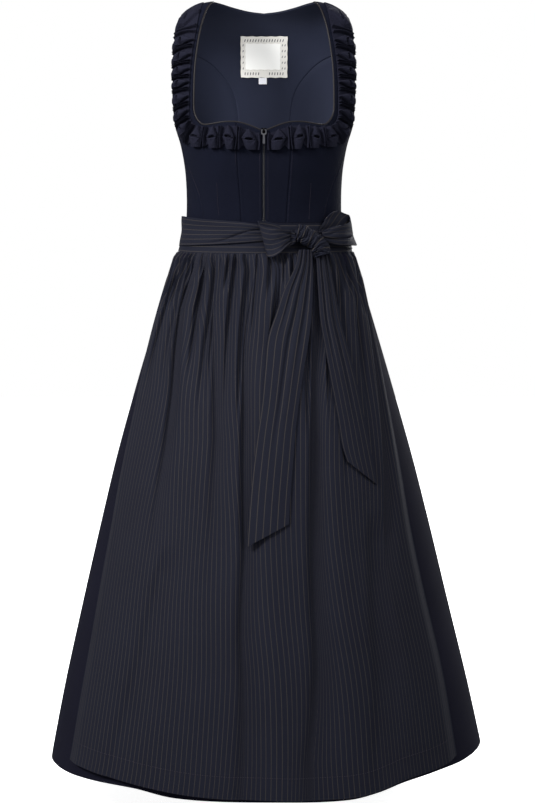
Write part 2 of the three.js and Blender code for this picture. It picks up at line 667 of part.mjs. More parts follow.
function centerBack(wall, out) {
  const seamRows = BODICE_ROWS;
  const strapRows = BACK_ROWS - seamRows;
  const seamTop = BACK_SEAM.at(-1).drop;
  const edgeSpot = (row) => {
    if (row >= strapRows) {
      return sidestep(seamSpot(BACK_SEAM, 1 - (row - strapRows) / seamRows), SEAM_SHARE);
    }
    const fall = THREE.MathUtils.lerp(SHOULDER_FALL, Math.sqrt(seamTop), row / strapRows);
    return { theta: degrees(along(BACK_STRAP_OUTER, 'drop', fall * fall, 'angle')), drop: fall * fall };
  };
  const topSpot = (across) => {
    const x = SHOULDER_OUTER_X * across;
    const neckEnd = BACK_NECK.at(-1).x;
    const drop = x < neckEnd ? Math.max(along(BACK_NECK, 'x', x, 'drop'), SHOULDER_FALL ** 2) : SHOULDER_FALL ** 2;
    return { theta: Math.PI - thetaAt(x, drop), drop };
  };
  const halfSpot = (row, across) => {
    const edge = edgeSpot(row);
    const topCenter = Math.sqrt(topSpot(0).drop);
    const share = row / BACK_ROWS;
    const centerFall = THREE.MathUtils.lerp(topCenter, Math.sqrt(WAIST_DROP), share);
    const spot = between({ theta: Math.PI, drop: centerFall ** 2 }, edge, across);
    const top = topSpot(across);
    const chord = between(topSpot(0), edgeSpot(0), across);
    const reach = (1 - share) ** 2;
    const fall = Math.sqrt(spot.drop) + (Math.sqrt(top.drop) - Math.sqrt(chord.drop)) * reach;
    return { theta: spot.theta + (top.theta - chord.theta) * reach, drop: fall * fall };
  };
  return panel(BACK_ROWS, 2 * BACK_HALF_COLUMNS, wall, (i, j) => {
    const across = (BACK_HALF_COLUMNS - j) / BACK_HALF_COLUMNS;
    const spot = halfSpot(i, Math.abs(across));
    const theta = across >= 0 ? spot.theta : 2 * Math.PI - spot.theta;
    return { theta, drop: spot.drop, out };
  });
}

const LINING_OUT = -(BODICE_WALL + SEAM_GAP);
addPair('bodice_center_front', centerFront(), COLOURS.wool);
addPair('bodice_side_front', sideFront(), COLOURS.wool);
addPair('bodice_side_back', sideBack(BODICE_WALL, 0), COLOURS.wool);
add('bodice_center_back', centerBack(BODICE_WALL, 0), COLOURS.wool);
addPair('lining_side', sideBack(LINING_WALL, LINING_OUT), COLOURS.lining, 0.7);
add('lining_center_back', centerBack(LINING_WALL, LINING_OUT), COLOURS.lining, 0.7);

// Swept rod with a mitred ring at each point; lean is a direction that each ring keeps in its plane
function rod(points, leans, radii, sides, flat = 1) {
  const positions = [];
  const index = [];
  points.forEach((point, k) => {
    const ahead = points[Math.min(k + 1, points.length - 1)];
    const behind = points[Math.max(k - 1, 0)];
    const tangent = ahead.clone().sub(behind).normalize();
    const side = tangent.clone().cross(leans[k]).normalize();
    const up = side.clone().cross(tangent).normalize();
    for (let s = 0; s < sides; s += 1) {
      const turn = (2 * Math.PI * s) / sides;
      const spot = point.clone()
        .addScaledVector(side, radii[k] * Math.cos(turn))
        .addScaledVector(up, radii[k] * flat * Math.sin(turn));
      positions.push(spot.x, spot.y, spot.z);
    }
  });
  const ring = (k, s) => k * sides + (s % sides);
  for (let k = 0; k < points.length - 1; k += 1) {
    for (let s = 0; s < sides; s += 1) {
      index.push(ring(k, s), ring(k + 1, s + 1), ring(k, s + 1), ring(k, s), ring(k + 1, s), ring(k + 1, s + 1));
    }
  }
  for (const [k, back] of [[0, true], [points.length - 1, false]]) {
    const center = positions.length / 3;
    positions.push(points[k].x, points[k].y, points[k].z);
    for (let s = 0; s < sides; s += 1) {
      index.push(center, ...(back ? [ring(k, s), ring(k, s + 1)] : [ring(k, s + 1), ring(k, s)]));
    }
  }
  const geometry = new THREE.BufferGeometry();
  geometry.setAttribute('position', new THREE.Float32BufferAttribute(positions, 3));
  geometry.setIndex(index);
  return geometry;
}

// Piping on the neckline: it follows the cloth's own edge points, just outside them
function piping() {
  const edge = [];
  for (let j = 0; j < FRONT_COLUMNS; j += 1) {
    const x = THREE.MathUtils.lerp(ZIP_HALF_WIDTH + PIPING_RADIUS, princessTopX, j / FRONT_COLUMNS);
    edge.push({ ...neckSpot(x), awayX: 0, awayZ: 1 });
  }
  for (let j = 0; j < NECK_COLUMNS; j += 1) {
    const x = THREE.MathUtils.lerp(princessTopX, cornerX, j / NECK_COLUMNS);
    edge.push({ ...neckSpot(x), awayX: 0, awayZ: 1 });
  }
  edge.push({ ...strapInnerSpot(STRAP_ROWS), awayX: PIPING_CORNER_LEAN.x, awayZ: PIPING_CORNER_LEAN.z });
  for (let row = STRAP_ROWS - 1; row > 0; row -= 1) {
    edge.push({ ...strapInnerSpot(row), awayX: -1, awayZ: 0 });
  }
  edge.push({ ...strapInnerSpot(PIPING_TOP_ROW), awayX: -1, awayZ: 0 });
  const offset = PIPING_RADIUS + 2 * SEAM_GAP;
  const middle = -BODICE_WALL / 2;
  const leans = edge.map((spot) => form(spot.theta, spot.drop, 1).sub(form(spot.theta, spot.drop)));
  const points = edge.map((spot) => {
    const point = form(spot.theta, spot.drop, middle);
    return point.add(new THREE.Vector3(spot.awayX * offset, 0, spot.awayZ * offset));
  });
  return rod(points, leans, points.map(() => PIPING_RADIUS), PIPING_SIDES);
}
addPair('neck_piping', piping(), COLOURS.piping, 0.45);

// Ruffle: one wall whose outer face rises and falls with the pinched pleats
function ruffle() {
  const columns = RUFFLE_ACROSS.length - 1;
  const stations = [];
  for (let unit = 0; unit < RUFFLE_UNITS; unit += 1) {
    RUFFLE_ALONG.forEach((part, k) => stations.push({ unit: unit + part, shape: RUFFLE_HEIGHTS[k] }));
  }
  stations.push({ unit: RUFFLE_UNITS, shape: RUFFLE_HEIGHTS[0] });
  const bandSpot = (unit, across) => {
    const value = (column) => along(RUFFLE_BAND, 'unit', unit, column);
    const edge = (prefix) => {
      const drop = value(`${prefix}Fall`) ** 2;
      return { theta: thetaAt(value(`${prefix}X`), drop), drop };
    };
    return between(edge('inner'), edge('outer'), across);
  };
  const height = (shape, j) => [shape.edge, shape.quarter, shape.middle, shape.quarter, shape.edge][j];
  const layer = (raise) => Array.from({ length: columns + 1 }, (_, j) => (
    stations.map(({ unit, shape }) => {
      const spot = bandSpot(unit, RUFFLE_ACROSS[j]);
      return form(spot.theta, spot.drop, RUFFLE_CLEARANCE + (raise ? height(shape, j) : 0));
    })
  ));
  return clothWall(layer(true), layer(false));
}
addPair('ruffle', ruffle(), COLOURS.wool);

// Skirt: gathered into the waist, with soft folds at the back
function skirtGather(j, drop) {
  return SKIRT_GATHER.height * (j % 2 ? 1 : -1) * Math.exp(-(drop - WAIST_DROP) / SKIRT_GATHER.reach);
}

function skirtFold(theta, drop) {
  const turn = (THREE.MathUtils.radToDeg(theta) + 360) % 360;
  const grown = THREE.MathUtils.smoothstep(drop, BAND_BOTTOM_DROP, FORM.at(-1).drop);
  return SKIRT_BACK_FOLDS.reduce((sum, fold) => (
    sum + fold.height * grown * Math.exp(-(((turn - fold.angle) / fold.width) ** 2))
  ), 0);
}

const SKIRT_LEVELS = [WAIST_DROP + SEAM_GAP, 384, 420, 480, 600, 790, 1020];
function skirtPanel(startAngle, endAngle, columns) {
  const rows = SKIRT_LEVELS.length;
  return panel(rows, columns, SKIRT_WALL, (i, j) => {
    const theta = degrees(THREE.MathUtils.lerp(startAngle, endAngle, j / columns));
    const turn = THREE.MathUtils.euclideanModulo(THREE.MathUtils.radToDeg(theta) + 180, 360) - 180;
    const drop = i < rows ? SKIRT_LEVELS[i] : along(SKIRT_HEM, 'angle', turn, 'drop');
    return { theta, drop, out: SKIRT_OUT + skirtGather(j, drop) + skirtFold(theta, drop) };
  });
}
const SIDE_SEAM_ANGLE = 90;
const SIDE_SEAM_HALF_GAP = 0.06;
const SKIRT_COLUMNS = { front: 36, back: 48 };
add('skirt_front', skirtPanel(SIDE_SEAM_HALF_GAP - SIDE_SEAM_ANGLE, SIDE_SEAM_ANGLE - SIDE_SEAM_HALF_GAP,
  SKIRT_COLUMNS.front), COLOURS.skirt);
add('skirt_back', skirtPanel(SIDE_SEAM_ANGLE + SIDE_SEAM_HALF_GAP, 360 - SIDE_SEAM_ANGLE - SIDE_SEAM_HALF_GAP,
  SKIRT_COLUMNS.back), COLOURS.skirt);

// Apron: gathered under its band, with the long troughs between its folds
function apronValley(across, drop) {
  const down = (drop - BAND_BOTTOM_DROP) / (FORM.at(-1).drop - BAND_BOTTOM_DROP);
  return APRON_VALLEYS.reduce((sum, valley) => {
    const middle = THREE.MathUtils.lerp(valley.top, valley.hem, down);
    const width = valley.width * (1 + down);
    const kept = 1 - THREE.MathUtils.smoothstep(
      drop - BAND_BOTTOM_DROP,
      VALLEY_FADE.from * valley.reach,
      VALLEY_FADE.to * valley.reach,
    );
    return Math.max(sum, valley.depth * kept * Math.exp(-(((across - middle) / width) ** 2)));
  }, 0);
}

function apronLift(across, drop) {
  const depth = drop - BAND_BOTTOM_DROP;
  const swell = THREE.MathUtils.lerp(APRON_SWELL.top, APRON_SWELL.hem, Math.min(depth / APRON_SWELL.fullAt, 1));
  const wave = 0.5 + 0.5 * Math.cos(2 * Math.PI * APRON_GATHER.waves * across);
  return swell * (1 - apronValley(across, drop)) + APRON_GATHER.height * wave * Math.exp(-depth / APRON_GATHER.reach);
}

const APRON_TOP_DROP = BAND_BOTTOM_DROP + SEAM_GAP;
const APRON_LEVELS = [APRON_TOP_DROP, 425, 450, 490, 560, 660, 800, 960, 1110];
const APRON_COLUMNS = 80;
function apronPanel() {
  const rows = APRON_LEVELS.length;
  return panel(rows, APRON_COLUMNS, APRON_WALL, (i, j) => {
    const across = j / APRON_COLUMNS;
    const drop = i < rows ? APRON_LEVELS[i] : along(APRON_HEM, 'across', across, 'drop');
    const left = along(APRON_EDGE, 'drop', drop, 'left');
    const right = along(APRON_EDGE, 'drop', drop, 'right');
    const theta = degrees(THREE.MathUtils.lerp(left, right, across));
    return { theta, drop, out: APRON_OUT + apronLift(across, drop) };
  });
}
add('apron_panel', apronPanel(), COLOURS.apron, 0.8);

// Band that follows a table of edges round the waist
function waistStrip(table, startAngle, endAngle, wall, step = 7, rows = 2) {
  const columns = Math.ceil((endAngle - startAngle) / step);
  return panel(rows, columns, wall, (i, j) => {
    const angle = THREE.MathUtils.lerp(startAngle, endAngle, j / columns);
    const top = along(table, 'angle', angle, 'top');
    const bottom = along(table, 'angle', angle, 'bottom');
    const drop = THREE.MathUtils.lerp(top, bottom, i / rows);
    return { theta: degrees(angle), drop, out: straight(table, 'angle', angle, 'out') };
  });
}
const WAISTBAND = [-WAISTBAND_HALF_ANGLE, WAISTBAND_HALF_ANGLE].map((angle) => (
  { angle, top: WAIST_DROP + 1, bottom: BAND_BOTTOM_DROP, out: BAND_OUT }
));
add('apron_waistband', waistStrip(WAISTBAND, -WAISTBAND_HALF_ANGLE, WAISTBAND_HALF_ANGLE, BAND_WALL), COLOURS.tie);
add('apron_tie_right', waistStrip(TIE_RIGHT, TIE_RIGHT[0].angle, TIE_RIGHT.at(-1).angle, TIE_WALL), COLOURS.tie);
add('apron_tie_left', waistStrip(TIE_LEFT, TIE_LEFT[0].angle, TIE_LEFT.at(-1).angle, TIE_WALL), COLOURS.tie);

// Strip of cloth that leaves the form, through its top and bottom edge at each station
function ribbon(stations, wall, rows) {
  const outer = Array.from({ length: rows + 1 }, (_, i) => stations.map((station) => {
    const drop = THREE.MathUtils.lerp(station.top, station.bottom, i / rows);
    return form(degrees(station.angle), drop, station.out);
  }));
  const inner = outer.map((row, i) => row.map((point, j) => {
    const down = outer[Math.min(i + 1, rows)][j].clone().sub(outer[Math.max(i - 1, 0)][j]);
    const ahead = row[Math.min(j + 1, row.length - 1)].clone().sub(row[Math.max(j - 1, 0)]);
    return point.clone().addScaledVector(down.cross(ahead).normalize(), -wall);
  }));
  return clothWall(outer, inner);
}
add('bow_loop_left', ribbon(LOOP_LEFT, TIE_WALL, LOOP_ROWS), COLOURS.tie);
add('bow_loop_right', ribbon(LOOP_RIGHT, TIE_WALL, LOOP_ROWS), COLOURS.tie);

function knot() {
  const spots = KNOT.map(({ x, drop }) => ({ theta: thetaFor(x, drop, KNOT_OUT), drop }));
  const leans = spots.map(({ theta, drop }) => form(theta, drop, 1).sub(form(theta, drop)));
  const points = spots.map(({ theta, drop }) => form(theta, drop, KNOT_OUT));
  return rod(points, leans, KNOT.map((row) => row.radius), KNOT_SIDES, KNOT_DEPTH_SHARE);
}
add('bow_knot', knot(), COLOURS.tie);

// Hanging end of the tie with a slanted cut
function tail(table, point, columns, slant) {
  return panel(table.length - 1, columns, TIE_WALL, (i, j) => {
    const across = j / columns;
    const row = table[i];
    const low = i / (table.length - 1);
    const drop = row.drop + point * low ** 3 * (slant > 0 ? across : 1 - across);
    const x = THREE.MathUtils.lerp(row.left, row.right, across);
    const out = TAIL_OUT + row.lift + TAIL_BELLY * Math.sin(Math.PI * across);
    return { theta: thetaFor(x, drop, out), drop, out };
  });
}
add('bow_tail_long', tail(TAIL_LONG, TAIL_LONG_POINT, TAIL_COLUMNS, -1), COLOURS.tie);
add('bow_tail_short', tail(TAIL_SHORT, TAIL_SHORT_POINT, TAIL_COLUMNS, 1), COLOURS.tie);

// Labels on the lining inside the back neck
function label(left, right, top, bottom, out, columns) {
  return panel(2, columns, LABEL_WALL, (i, j) => {
    const drop = THREE.MathUtils.lerp(top, bottom, i / 2);
    const x = THREE.MathUtils.lerp(right, left, j / columns);
    return { theta: Math.PI - thetaAt(x, drop), drop, out };
  });
}
add('neck_label', label(-NECK_LABEL.halfWidth, NECK_LABEL.halfWidth, NECK_LABEL.top, NECK_LABEL.bottom,
  NECK_LABEL.out, 6), COLOURS.label);
add('size_label', label(SIZE_LABEL.left, SIZE_LABEL.right, SIZE_LABEL.top, SIZE_LABEL.bottom,
  SIZE_LABEL.out, 2), COLOURS.sizeLabel);

// Zip coil between the centre-front edges
function zipCoil() {
  const top = neckSpot(ZIP_HALF_WIDTH).drop + COIL_TOP_GAP;
  return panel(BODICE_ROWS, 1, BODICE_WALL, (i, j) => {
    const drop = THREE.MathUtils.lerp(top, WAIST_DROP, i / BODICE_ROWS);
    const x = THREE.MathUtils.lerp(-COIL_HALF_WIDTH, COIL_HALF_WIDTH, j);
    return { theta: thetaAt(x, drop), drop, out: -COIL_DEPTH };
  });
}
add('zip_coil', zipCoil(), COLOURS.coil, 0.5);

// Booleans on closed geometries
function solid(geometry) {
  const clean = new THREE.BufferGeometry();
  clean.setAttribute('position', geometry.getAttribute('position').clone());
  if (geometry.index) clean.setIndex(geometry.index.clone());
  const merged = mergeVertices(clean, 1e-4);
  return new wasm.Manifold(new wasm.Mesh({
    numProp: 3,
    vertProperties: new Float32Array(merged.getAttribute('position').array),
    triVerts: new Uint32Array(merged.getIndex().array),
  }));
}

function meshOf(body) {
  const { vertProperties, triVerts } = body.getMesh();
  const geometry = new THREE.BufferGeometry();
  geometry.setAttribute('position', new THREE.Float32BufferAttribute(vertProperties, 3));
  geometry.setIndex(Array.from(triVerts));
  return geometry;
}

// Outline drawn in X and Z, as thick as given along Y, its front face at the given Y
function plate(shape, thickness, frontY) {
  const geometry = new THREE.ExtrudeGeometry(shape, { depth: thickness, bevelEnabled: false, curveSegments: 6 });
  geometry.rotateX(Math.PI / 2);
  geometry.translate(0, frontY + thickness, 0);
  return geometry;
}

const sliderFace = form(0, SLIDER.drop);
const sliderFrontY = sliderFace.y - SLIDER.standOff - SLIDER.thickness;
const eye = new THREE.Vector3(0, sliderFrontY - BRIDGE.eye, sliderFace.z + BRIDGE.rise);

function roundedBox(width, height, radius) {
  const [w, h] = [width / 2, height / 2];
  const shape = new THREE.Shape();
  shape.moveTo(-w + radius, -h);
  shape.lineTo(w - radius, -h);
  shape.absarc(w - radius, -h + radius, radius, -Math.PI / 2, 0, false);
  shape.absarc(w - radius, h - radius, radius, 0, Math.PI / 2, false);
  shape.absarc(-w + radius, h - radius, radius, Math.PI / 2, Math.PI, false);
  shape.absarc(-w + radius, -h + radius, radius, Math.PI, 1.5 * Math.PI, false);
  return shape;
}

function slider() {
  const shield = plate(roundedBox(SLIDER.width, SLIDER.height, SLIDER.corner), SLIDER.thickness, sliderFrontY);
  shield.translate(0, 0, sliderFace.z);
  const stem = new THREE.BoxGeometry(STEM.width, STEM.depth, SLIDER.height - 2 * SLIDER.corner);
  stem.translate(0, sliderFrontY + SLIDER.thickness + STEM.depth / 2 - SEAM_GAP, sliderFace.z);
  const ring = new THREE.Shape();
  ring.absarc(0, 0, BRIDGE.radius, 0, 2 * Math.PI, false);
  const hole = new THREE.Path();
  hole.absarc(0, 0, BRIDGE.eye, 0, 2 * Math.PI, true);
  ring.holes.push(hole);
  const bridge = new THREE.ExtrudeGeometry(ring, { depth: BRIDGE.width, bevelEnabled: false, curveSegments: 8 });
  bridge.rotateY(Math.PI / 2);
  bridge.translate(-BRIDGE.width / 2, eye.y, eye.z);
  return meshOf(solid(shield).add(solid(stem)).add(solid(bridge)));
}

function pull() {
  const top = PULL.bar / 2;
  const ringBottom = top - PULL.ringHeight;
  const end = top - PULL.length;
  const shape = new THREE.Shape();
  const half = PULL.outer / 2;
  shape.moveTo(-half, top);
  shape.lineTo(-half, ringBottom + PULL.shoulder);
  shape.quadraticCurveTo(-half, ringBottom, -PULL.tabTop / 2, ringBottom - PULL.neck);
  shape.lineTo(-PULL.tabEnd / 2, end + PULL.endRound);
  shape.quadraticCurveTo(0, end - PULL.endRound, PULL.tabEnd / 2, end + PULL.endRound);
  shape.lineTo(PULL.tabTop / 2, ringBottom - PULL.neck);
  shape.quadraticCurveTo(half, ringBottom, half, ringBottom + PULL.shoulder);
  shape.lineTo(half, top);
  const hole = new THREE.Path();
  const inner = PULL.inner / 2;
  hole.moveTo(-inner, top - PULL.bar);
  hole.lineTo(inner, top - PULL.bar);
  hole.lineTo(inner, ringBottom + PULL.eyeRound);
  hole.quadraticCurveTo(0, ringBottom + PULL.neck, -inner, ringBottom + PULL.eyeRound);
  hole.closePath();
  shape.holes.push(hole);
  const geometry = plate(shape, PULL.thickness, eye.y - PULL.thickness / 2);
  geometry.translate(0, 0, eye.z);
  return meshOf(solid(geometry));
}
add('zip_slider', slider(), COLOURS.metal, 0.35, 1);
add('zip_pull', pull(), COLOURS.metal, 0.3, 1);

export default group;
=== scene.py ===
"""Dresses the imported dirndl: wool bodice, frog-mouth ruffle, gathered skirt and pinstriped apron.

The cloth is worked out in millimetres on one body form and becomes metres where a mesh is made.
Drops are measured down from the shoulder line, and angles run from the front towards +X.
"""

import logging
import math
from collections.abc import Callable, Sequence
from dataclasses import dataclass, field
from enum import Enum

import bpy
import numpy as np
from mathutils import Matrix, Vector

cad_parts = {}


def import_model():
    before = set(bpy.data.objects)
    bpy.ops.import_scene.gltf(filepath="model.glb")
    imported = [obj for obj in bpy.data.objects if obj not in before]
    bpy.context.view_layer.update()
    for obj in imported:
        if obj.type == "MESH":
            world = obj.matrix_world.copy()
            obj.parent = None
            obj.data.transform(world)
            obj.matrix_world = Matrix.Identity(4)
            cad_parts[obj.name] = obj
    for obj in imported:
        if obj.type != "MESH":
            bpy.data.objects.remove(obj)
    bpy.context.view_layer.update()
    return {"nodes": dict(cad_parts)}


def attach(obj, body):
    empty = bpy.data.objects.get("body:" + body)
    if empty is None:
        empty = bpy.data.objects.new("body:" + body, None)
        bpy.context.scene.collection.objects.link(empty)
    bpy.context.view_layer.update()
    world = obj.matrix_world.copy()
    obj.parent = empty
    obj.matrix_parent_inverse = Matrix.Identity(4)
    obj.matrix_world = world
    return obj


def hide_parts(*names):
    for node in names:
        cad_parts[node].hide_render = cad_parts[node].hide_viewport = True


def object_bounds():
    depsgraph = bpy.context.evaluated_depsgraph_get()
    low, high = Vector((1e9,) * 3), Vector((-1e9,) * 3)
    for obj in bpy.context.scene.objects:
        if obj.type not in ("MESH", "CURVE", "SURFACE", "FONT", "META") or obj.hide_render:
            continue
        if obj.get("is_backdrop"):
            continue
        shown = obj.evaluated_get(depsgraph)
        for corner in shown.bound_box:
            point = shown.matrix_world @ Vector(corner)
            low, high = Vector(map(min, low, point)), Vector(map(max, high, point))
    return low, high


log = logging.getLogger("dirndl")
Array = np.ndarray
Spot = tuple[Array, Array]

MM = 0.001
WAIST = 356.0
BAND_BOTTOM = 407.0
LOWEST = 1254.0
NECK_CORNER = 107.0
ZIP_HALF = 2.0
SEAM_LAP = 0.12
SEAM_RELIEF = 1.3
LINING_SEAM_WIDTH = 0.9
SKIRT_SIDE_LAP = 0.05
APRON_HEM_DEPTH = 32
TIE_CUT_WIDTH = 52.0
LONG_FOLD = 260
SHOULDER_END = 138
SHOULDER_FALL = 0.02
STEP = 0.004
SPINDLE = np.array([0.05, 0.8, 1, 0.8, 0.05])


class Inside(Enum):
    """How much of a cloth's inner face is made."""

    WHOLE = "whole"
    HEM = "hem"


class Weave(Enum):
    """How the threads of a cloth cross."""

    TWILL = "twill"
    PLAIN = "plain"
    SATIN = "satin"


class Table:
    """Rows of values keyed by their first column."""

    def __init__(self, names: str, rows: Sequence[Sequence[float]]) -> None:
        """Keeps the columns by name.

        Args:
            names: Column names, the key first.
            rows: Values, ascending in the key.
        """
        labels = names.split()
        self.columns = dict(zip(labels, np.array(rows, float).T))
        self.key = self.columns[labels[0]]

    def smooth(self, at: Array, name: str) -> Array:
        """Reads a column along a smooth curve through its rows.

        Args:
            at: Key values.
            name: Column.

        Returns:
            The column's values there.
        """
        key, values = self.key, self.columns[name]
        last = len(key) - 1
        at = np.asarray(at, float)
        row = np.clip(np.searchsorted(key, at, side="left") - 1, 0, last - 1)
        before = np.maximum(np.arange(last + 1) - 1, 0)
        after = np.minimum(np.arange(last + 1) + 1, last)
        slope = (values[after] - values[before]) / (key[after] - key[before])
        span = key[row + 1] - key[row]
        t = np.clip((at - key[row]) / span, 0, 1)
        blend = t * t * (3 - 2 * t)
        rise = t * (1 - t) ** 2 * span * slope[row]
        arrive = t * t * (t - 1) * span * slope[row + 1]
        return values[row] * (1 - blend) + values[row + 1] * blend + rise + arrive

    def straight(self, at: Array, name: str) -> Array:
        """Reads a column along straight lines between its rows."""
        return np.interp(at, self.key, self.columns[name])


FORM = Table("fall width front back square lean", [
    (math.sqrt(row[0]), *row[1:]) for row in (
        (0, 165, 0, 0, 2.3, 0), (4, 165, 18, 24, 2.3, 0), (16, 165, 34, 56, 2.3, 0),
        (40, 165, 52, 79, 2.3, 0), (66, 164, 64, 92, 2.3, 0), (100, 162, 77, 101, 2.3, 0),
        (131, 158, 88, 106, 2.3, 0), (160, 153, 98, 108, 2.3, 0), (198, 146, 108, 106, 2.3, 0),
        (235, 136, 114, 101, 2.3, 0), (270, 129.5, 110, 94, 2.3, 0), (300, 127, 103, 89, 2.25, 0),
        (330, 126.5, 97, 86, 2.2, 0), (356, 127, 94, 86, 2.2, 0.6), (380, 129.5, 96, 89, 2.15, 1.5),
        (407, 136, 101, 95, 2.1, 2), (453, 152.5, 116, 109, 2.05, 2), (486, 164, 127, 119, 2, 1.6),
        (552, 185, 146, 137, 2, 0.6), (653, 215, 174, 162, 2, 0.4), (754, 243.5, 199, 184, 2, 0.8),
        (855, 269, 221, 204, 2, 1.6), (992, 302, 247, 227, 2, 2.4), (1131, 335, 266, 246, 2, 4.1),
        (1254, 361, 280, 260, 2, 5.8),
    )
])
NECK_EDGE = Table("x drop", [
    (0, 213.5), (10.5, 209), (27, 202.5), (43.5, 198.5), (64.5, 198.5), (83.5, 201.5), (98, 202), (107, 195),
])
STRAP_INNER = Table("drop x", [
    (0, 82.5), (5, 89), (15, 95), (39, 103), (63, 107.7), (96, 112), (129, 113.8), (154, 114.2),
    (177, 114), (188, 111), (195, 107),
])
BACK_NECK = Table("x drop", [(0, 14.5), (24, 12), (50, 7), (70, 2.2), (82.5, 0)])
ARMHOLE_FRONT = Table("drop angle", [
    (0, 56.8), (10, 59.2), (30, 61.2), (70, 63), (110, 65.8), (140, 71), (165, 75.7), (185, 80.5), (198, 88),
])
ARMHOLE_BACK = Table("part angle drop", [
    (0, 88, 198), (0.2, 95.5, 191), (0.4, 104, 169), (0.6, 110.5, 134), (0.8, 115, 92), (1, 117.5, 50),
])
PRINCESS_SEAM = Table("part x drop", [
    (0, 36, 356), (0.25, 38, 318), (0.5, 41, 278), (0.75, 43, 238), (1, 43.5, 198.5),
])
SIDE_FRONT_SEAM = Table("part angle drop", [
    (0, 50.5, 356), (0.25, 55, 318), (0.5, 67, 278), (0.75, 79.5, 238), (1, 88, 198),
])
BACK_SEAM = Table("part angle drop", [
    (0, 164, 356), (0.3, 163.5, 262), (0.5, 163, 195), (0.65, 160.5, 142), (0.76, 152, 108),
    (0.86, 140, 83), (1, 117.5, 50),
])
BACK_STRAP_OUTER = Table("drop angle", [(0, 123.2), (10, 120.8), (30, 118.8), (50, 117.5)])
RUFFLE_BAND = Table("unit innerX innerFall outerX outerFall", [
    (row[0], row[1], math.sqrt(row[2]), row[3], math.sqrt(row[4])) for row in (
        (0, 5.4, 217, 5.4, 241), (1, 40.5, 205, 41, 240), (2, 67, 204.5, 69, 238), (3, 89.5, 205, 95, 236),
        (4, 110, 200, 124, 230), (5, 117.5, 187, 139, 204), (6, 118.5, 165, 143.5, 174),
        (7, 118.5, 141, 146, 138), (8, 117.5, 118, 147, 110), (9, 116, 94, 147, 83),
        (10, 113, 69, 146.5, 54), (11, 108, 43, 144, 26), (12, 97, 0.5, 133, 0.5),
    )
])
SKIRT_HEM = Table("angle drop", [
    (-180, 1250), (-90, 1255), (-69, 1252), (-54, 1249), (-36, 1245), (-24, 1251), (0, 1250),
    (21, 1252), (29, 1246), (38, 1236), (58, 1230), (82, 1230), (120, 1244), (180, 1250),
])
SKIRT_BACK_FOLDS = (
    (108, 9, 7), (131, 7, 10), (152, 8, 7), (171, 6, 11), (193, 8, 9), (214, 7, 7), (232, 6, 11), (252, 8, 6),
)
SKIRT_BACK_TROUGHS = ((112, 118), (137, 142), (160, 162), (184, 182), (204, 203), (222, 224), (243, 242))
CENTER_FOLD = ((0, 0.552), (97, 0.553), (180, 0.555))
APRON_EDGE = Table("drop left right", [
    (407, -88, 86), (520, -80, 75), (650, -72, 66.5), (827, -66.7, 60), (935, -65, 59.5),
    (1060, -63.5, 60.5), (1210, -63, 59), (1245, -63.5, 59),
])
APRON_HEM = Table("across drop", [
    (0, 1229), (0.15, 1233), (0.25, 1237), (0.37, 1243), (0.5, 1245), (0.68, 1247), (0.75, 1242),
    (0.82, 1230), (0.92, 1224), (1, 1217),
])
TIE_RIGHT = Table("angle top bottom out", [
    (97.3, 357, 406, 6), (112, 352, 396, 6), (130, 346, 376, 6), (150, 347, 377, 8.5),
    (165, 353, 386, 8.5), (180, 360, 396, 8.5), (200, 366, 405, 8.5), (230, 362, 406, 8.5),
    (263, 350, 400, 8.5), (280, 347, 397, 8.5), (310, 350, 394, 8.5), (345, 355, 389, 8.5),
    (360, 361, 386, 8.5), (387, 371, 388, 8.5),
])
TIE_LEFT = Table("angle top bottom out", [
    (33, 372, 392, 8.5), (55, 360, 399, 8.5), (80, 352, 402, 8.5), (97, 356, 405, 8.5),
    (112, 366, 406, 8.5), (130, 379, 409, 8.5), (150, 380, 409, 6), (165, 373, 403, 6),
    (180, 364, 396, 6), (200, 354, 385, 6), (230, 351, 390, 6), (262.7, 357, 406, 6),
])
LOOP_LEFT = Table("station angle out top bottom", [
    (0, 20.4, 13.2, 374, 391), (1, 13.5, 11, 366, 398), (2, 8, 11, 358, 402), (3, 2.5, 11.5, 354, 405),
    (4, -1.6, 13.5, 352, 409), (5, -3.6, 17, 353, 414), (6, -1.8, 21, 359, 416),
    (7, 2.4, 24.5, 364, 414), (8, 7.5, 25, 366, 408), (9, 12.0, 21.5, 367, 399), (10, 16.8, 16, 368, 390),
])
LOOP_RIGHT = Table("station angle out top bottom", [
    (0, 39, 13, 369, 381), (1, 45, 11, 356, 388), (2, 52, 11, 343, 394), (3, 62, 11, 338, 397),
    (4, 71, 12.5, 342, 398), (5, 74.5, 16.5, 346, 399), (6, 71, 20.5, 357, 400),
    (7, 62, 23.5, 361, 399), (8, 53, 24, 363, 397), (9, 46, 21, 367, 392), (10, 40, 17.5, 373, 384),
])
KNOT = Table("station x drop radius", [
    (0, 51, 373, 11.5), (1, 59, 375, 13.8), (2, 70, 381, 14), (3, 81, 389, 13.5), (4, 90, 401, 14.5),
    (5, 94, 415, 13),
])
TAIL_LONG = Table("drop left right lift", [
    (403.5, 56, 77, 3), (430, 50, 78, 1), (464, 33, 78, 0), (500, 20, 76, 0), (538, 7, 72, 0),
    (585, 2, 64, 0), (636, -3, 56, 0), (680, -10, 50, 0), (729, -17, 46, 0), (776, -22, 42, 0),
    (824, -26, 39, 0),
])
TAIL_SHORT = Table("drop left right lift", [
    (412.8, 84, 102, 3), (435, 85, 107, 1), (470, 87, 114, 0), (513, 90, 122, 0), (555, 97, 134, 0),
    (600, 105, 147, 0), (664, 117, 163, 0), (708, 124, 174, 0), (733, 132, 180, 0),
])


def ease(value: Array, start: float, end: float) -> Array:
    """Smooth step from 0 at start to 1 at end."""
    t = np.clip((value - start) / (end - start), 0, 1)
    return t * t * (3 - 2 * t)


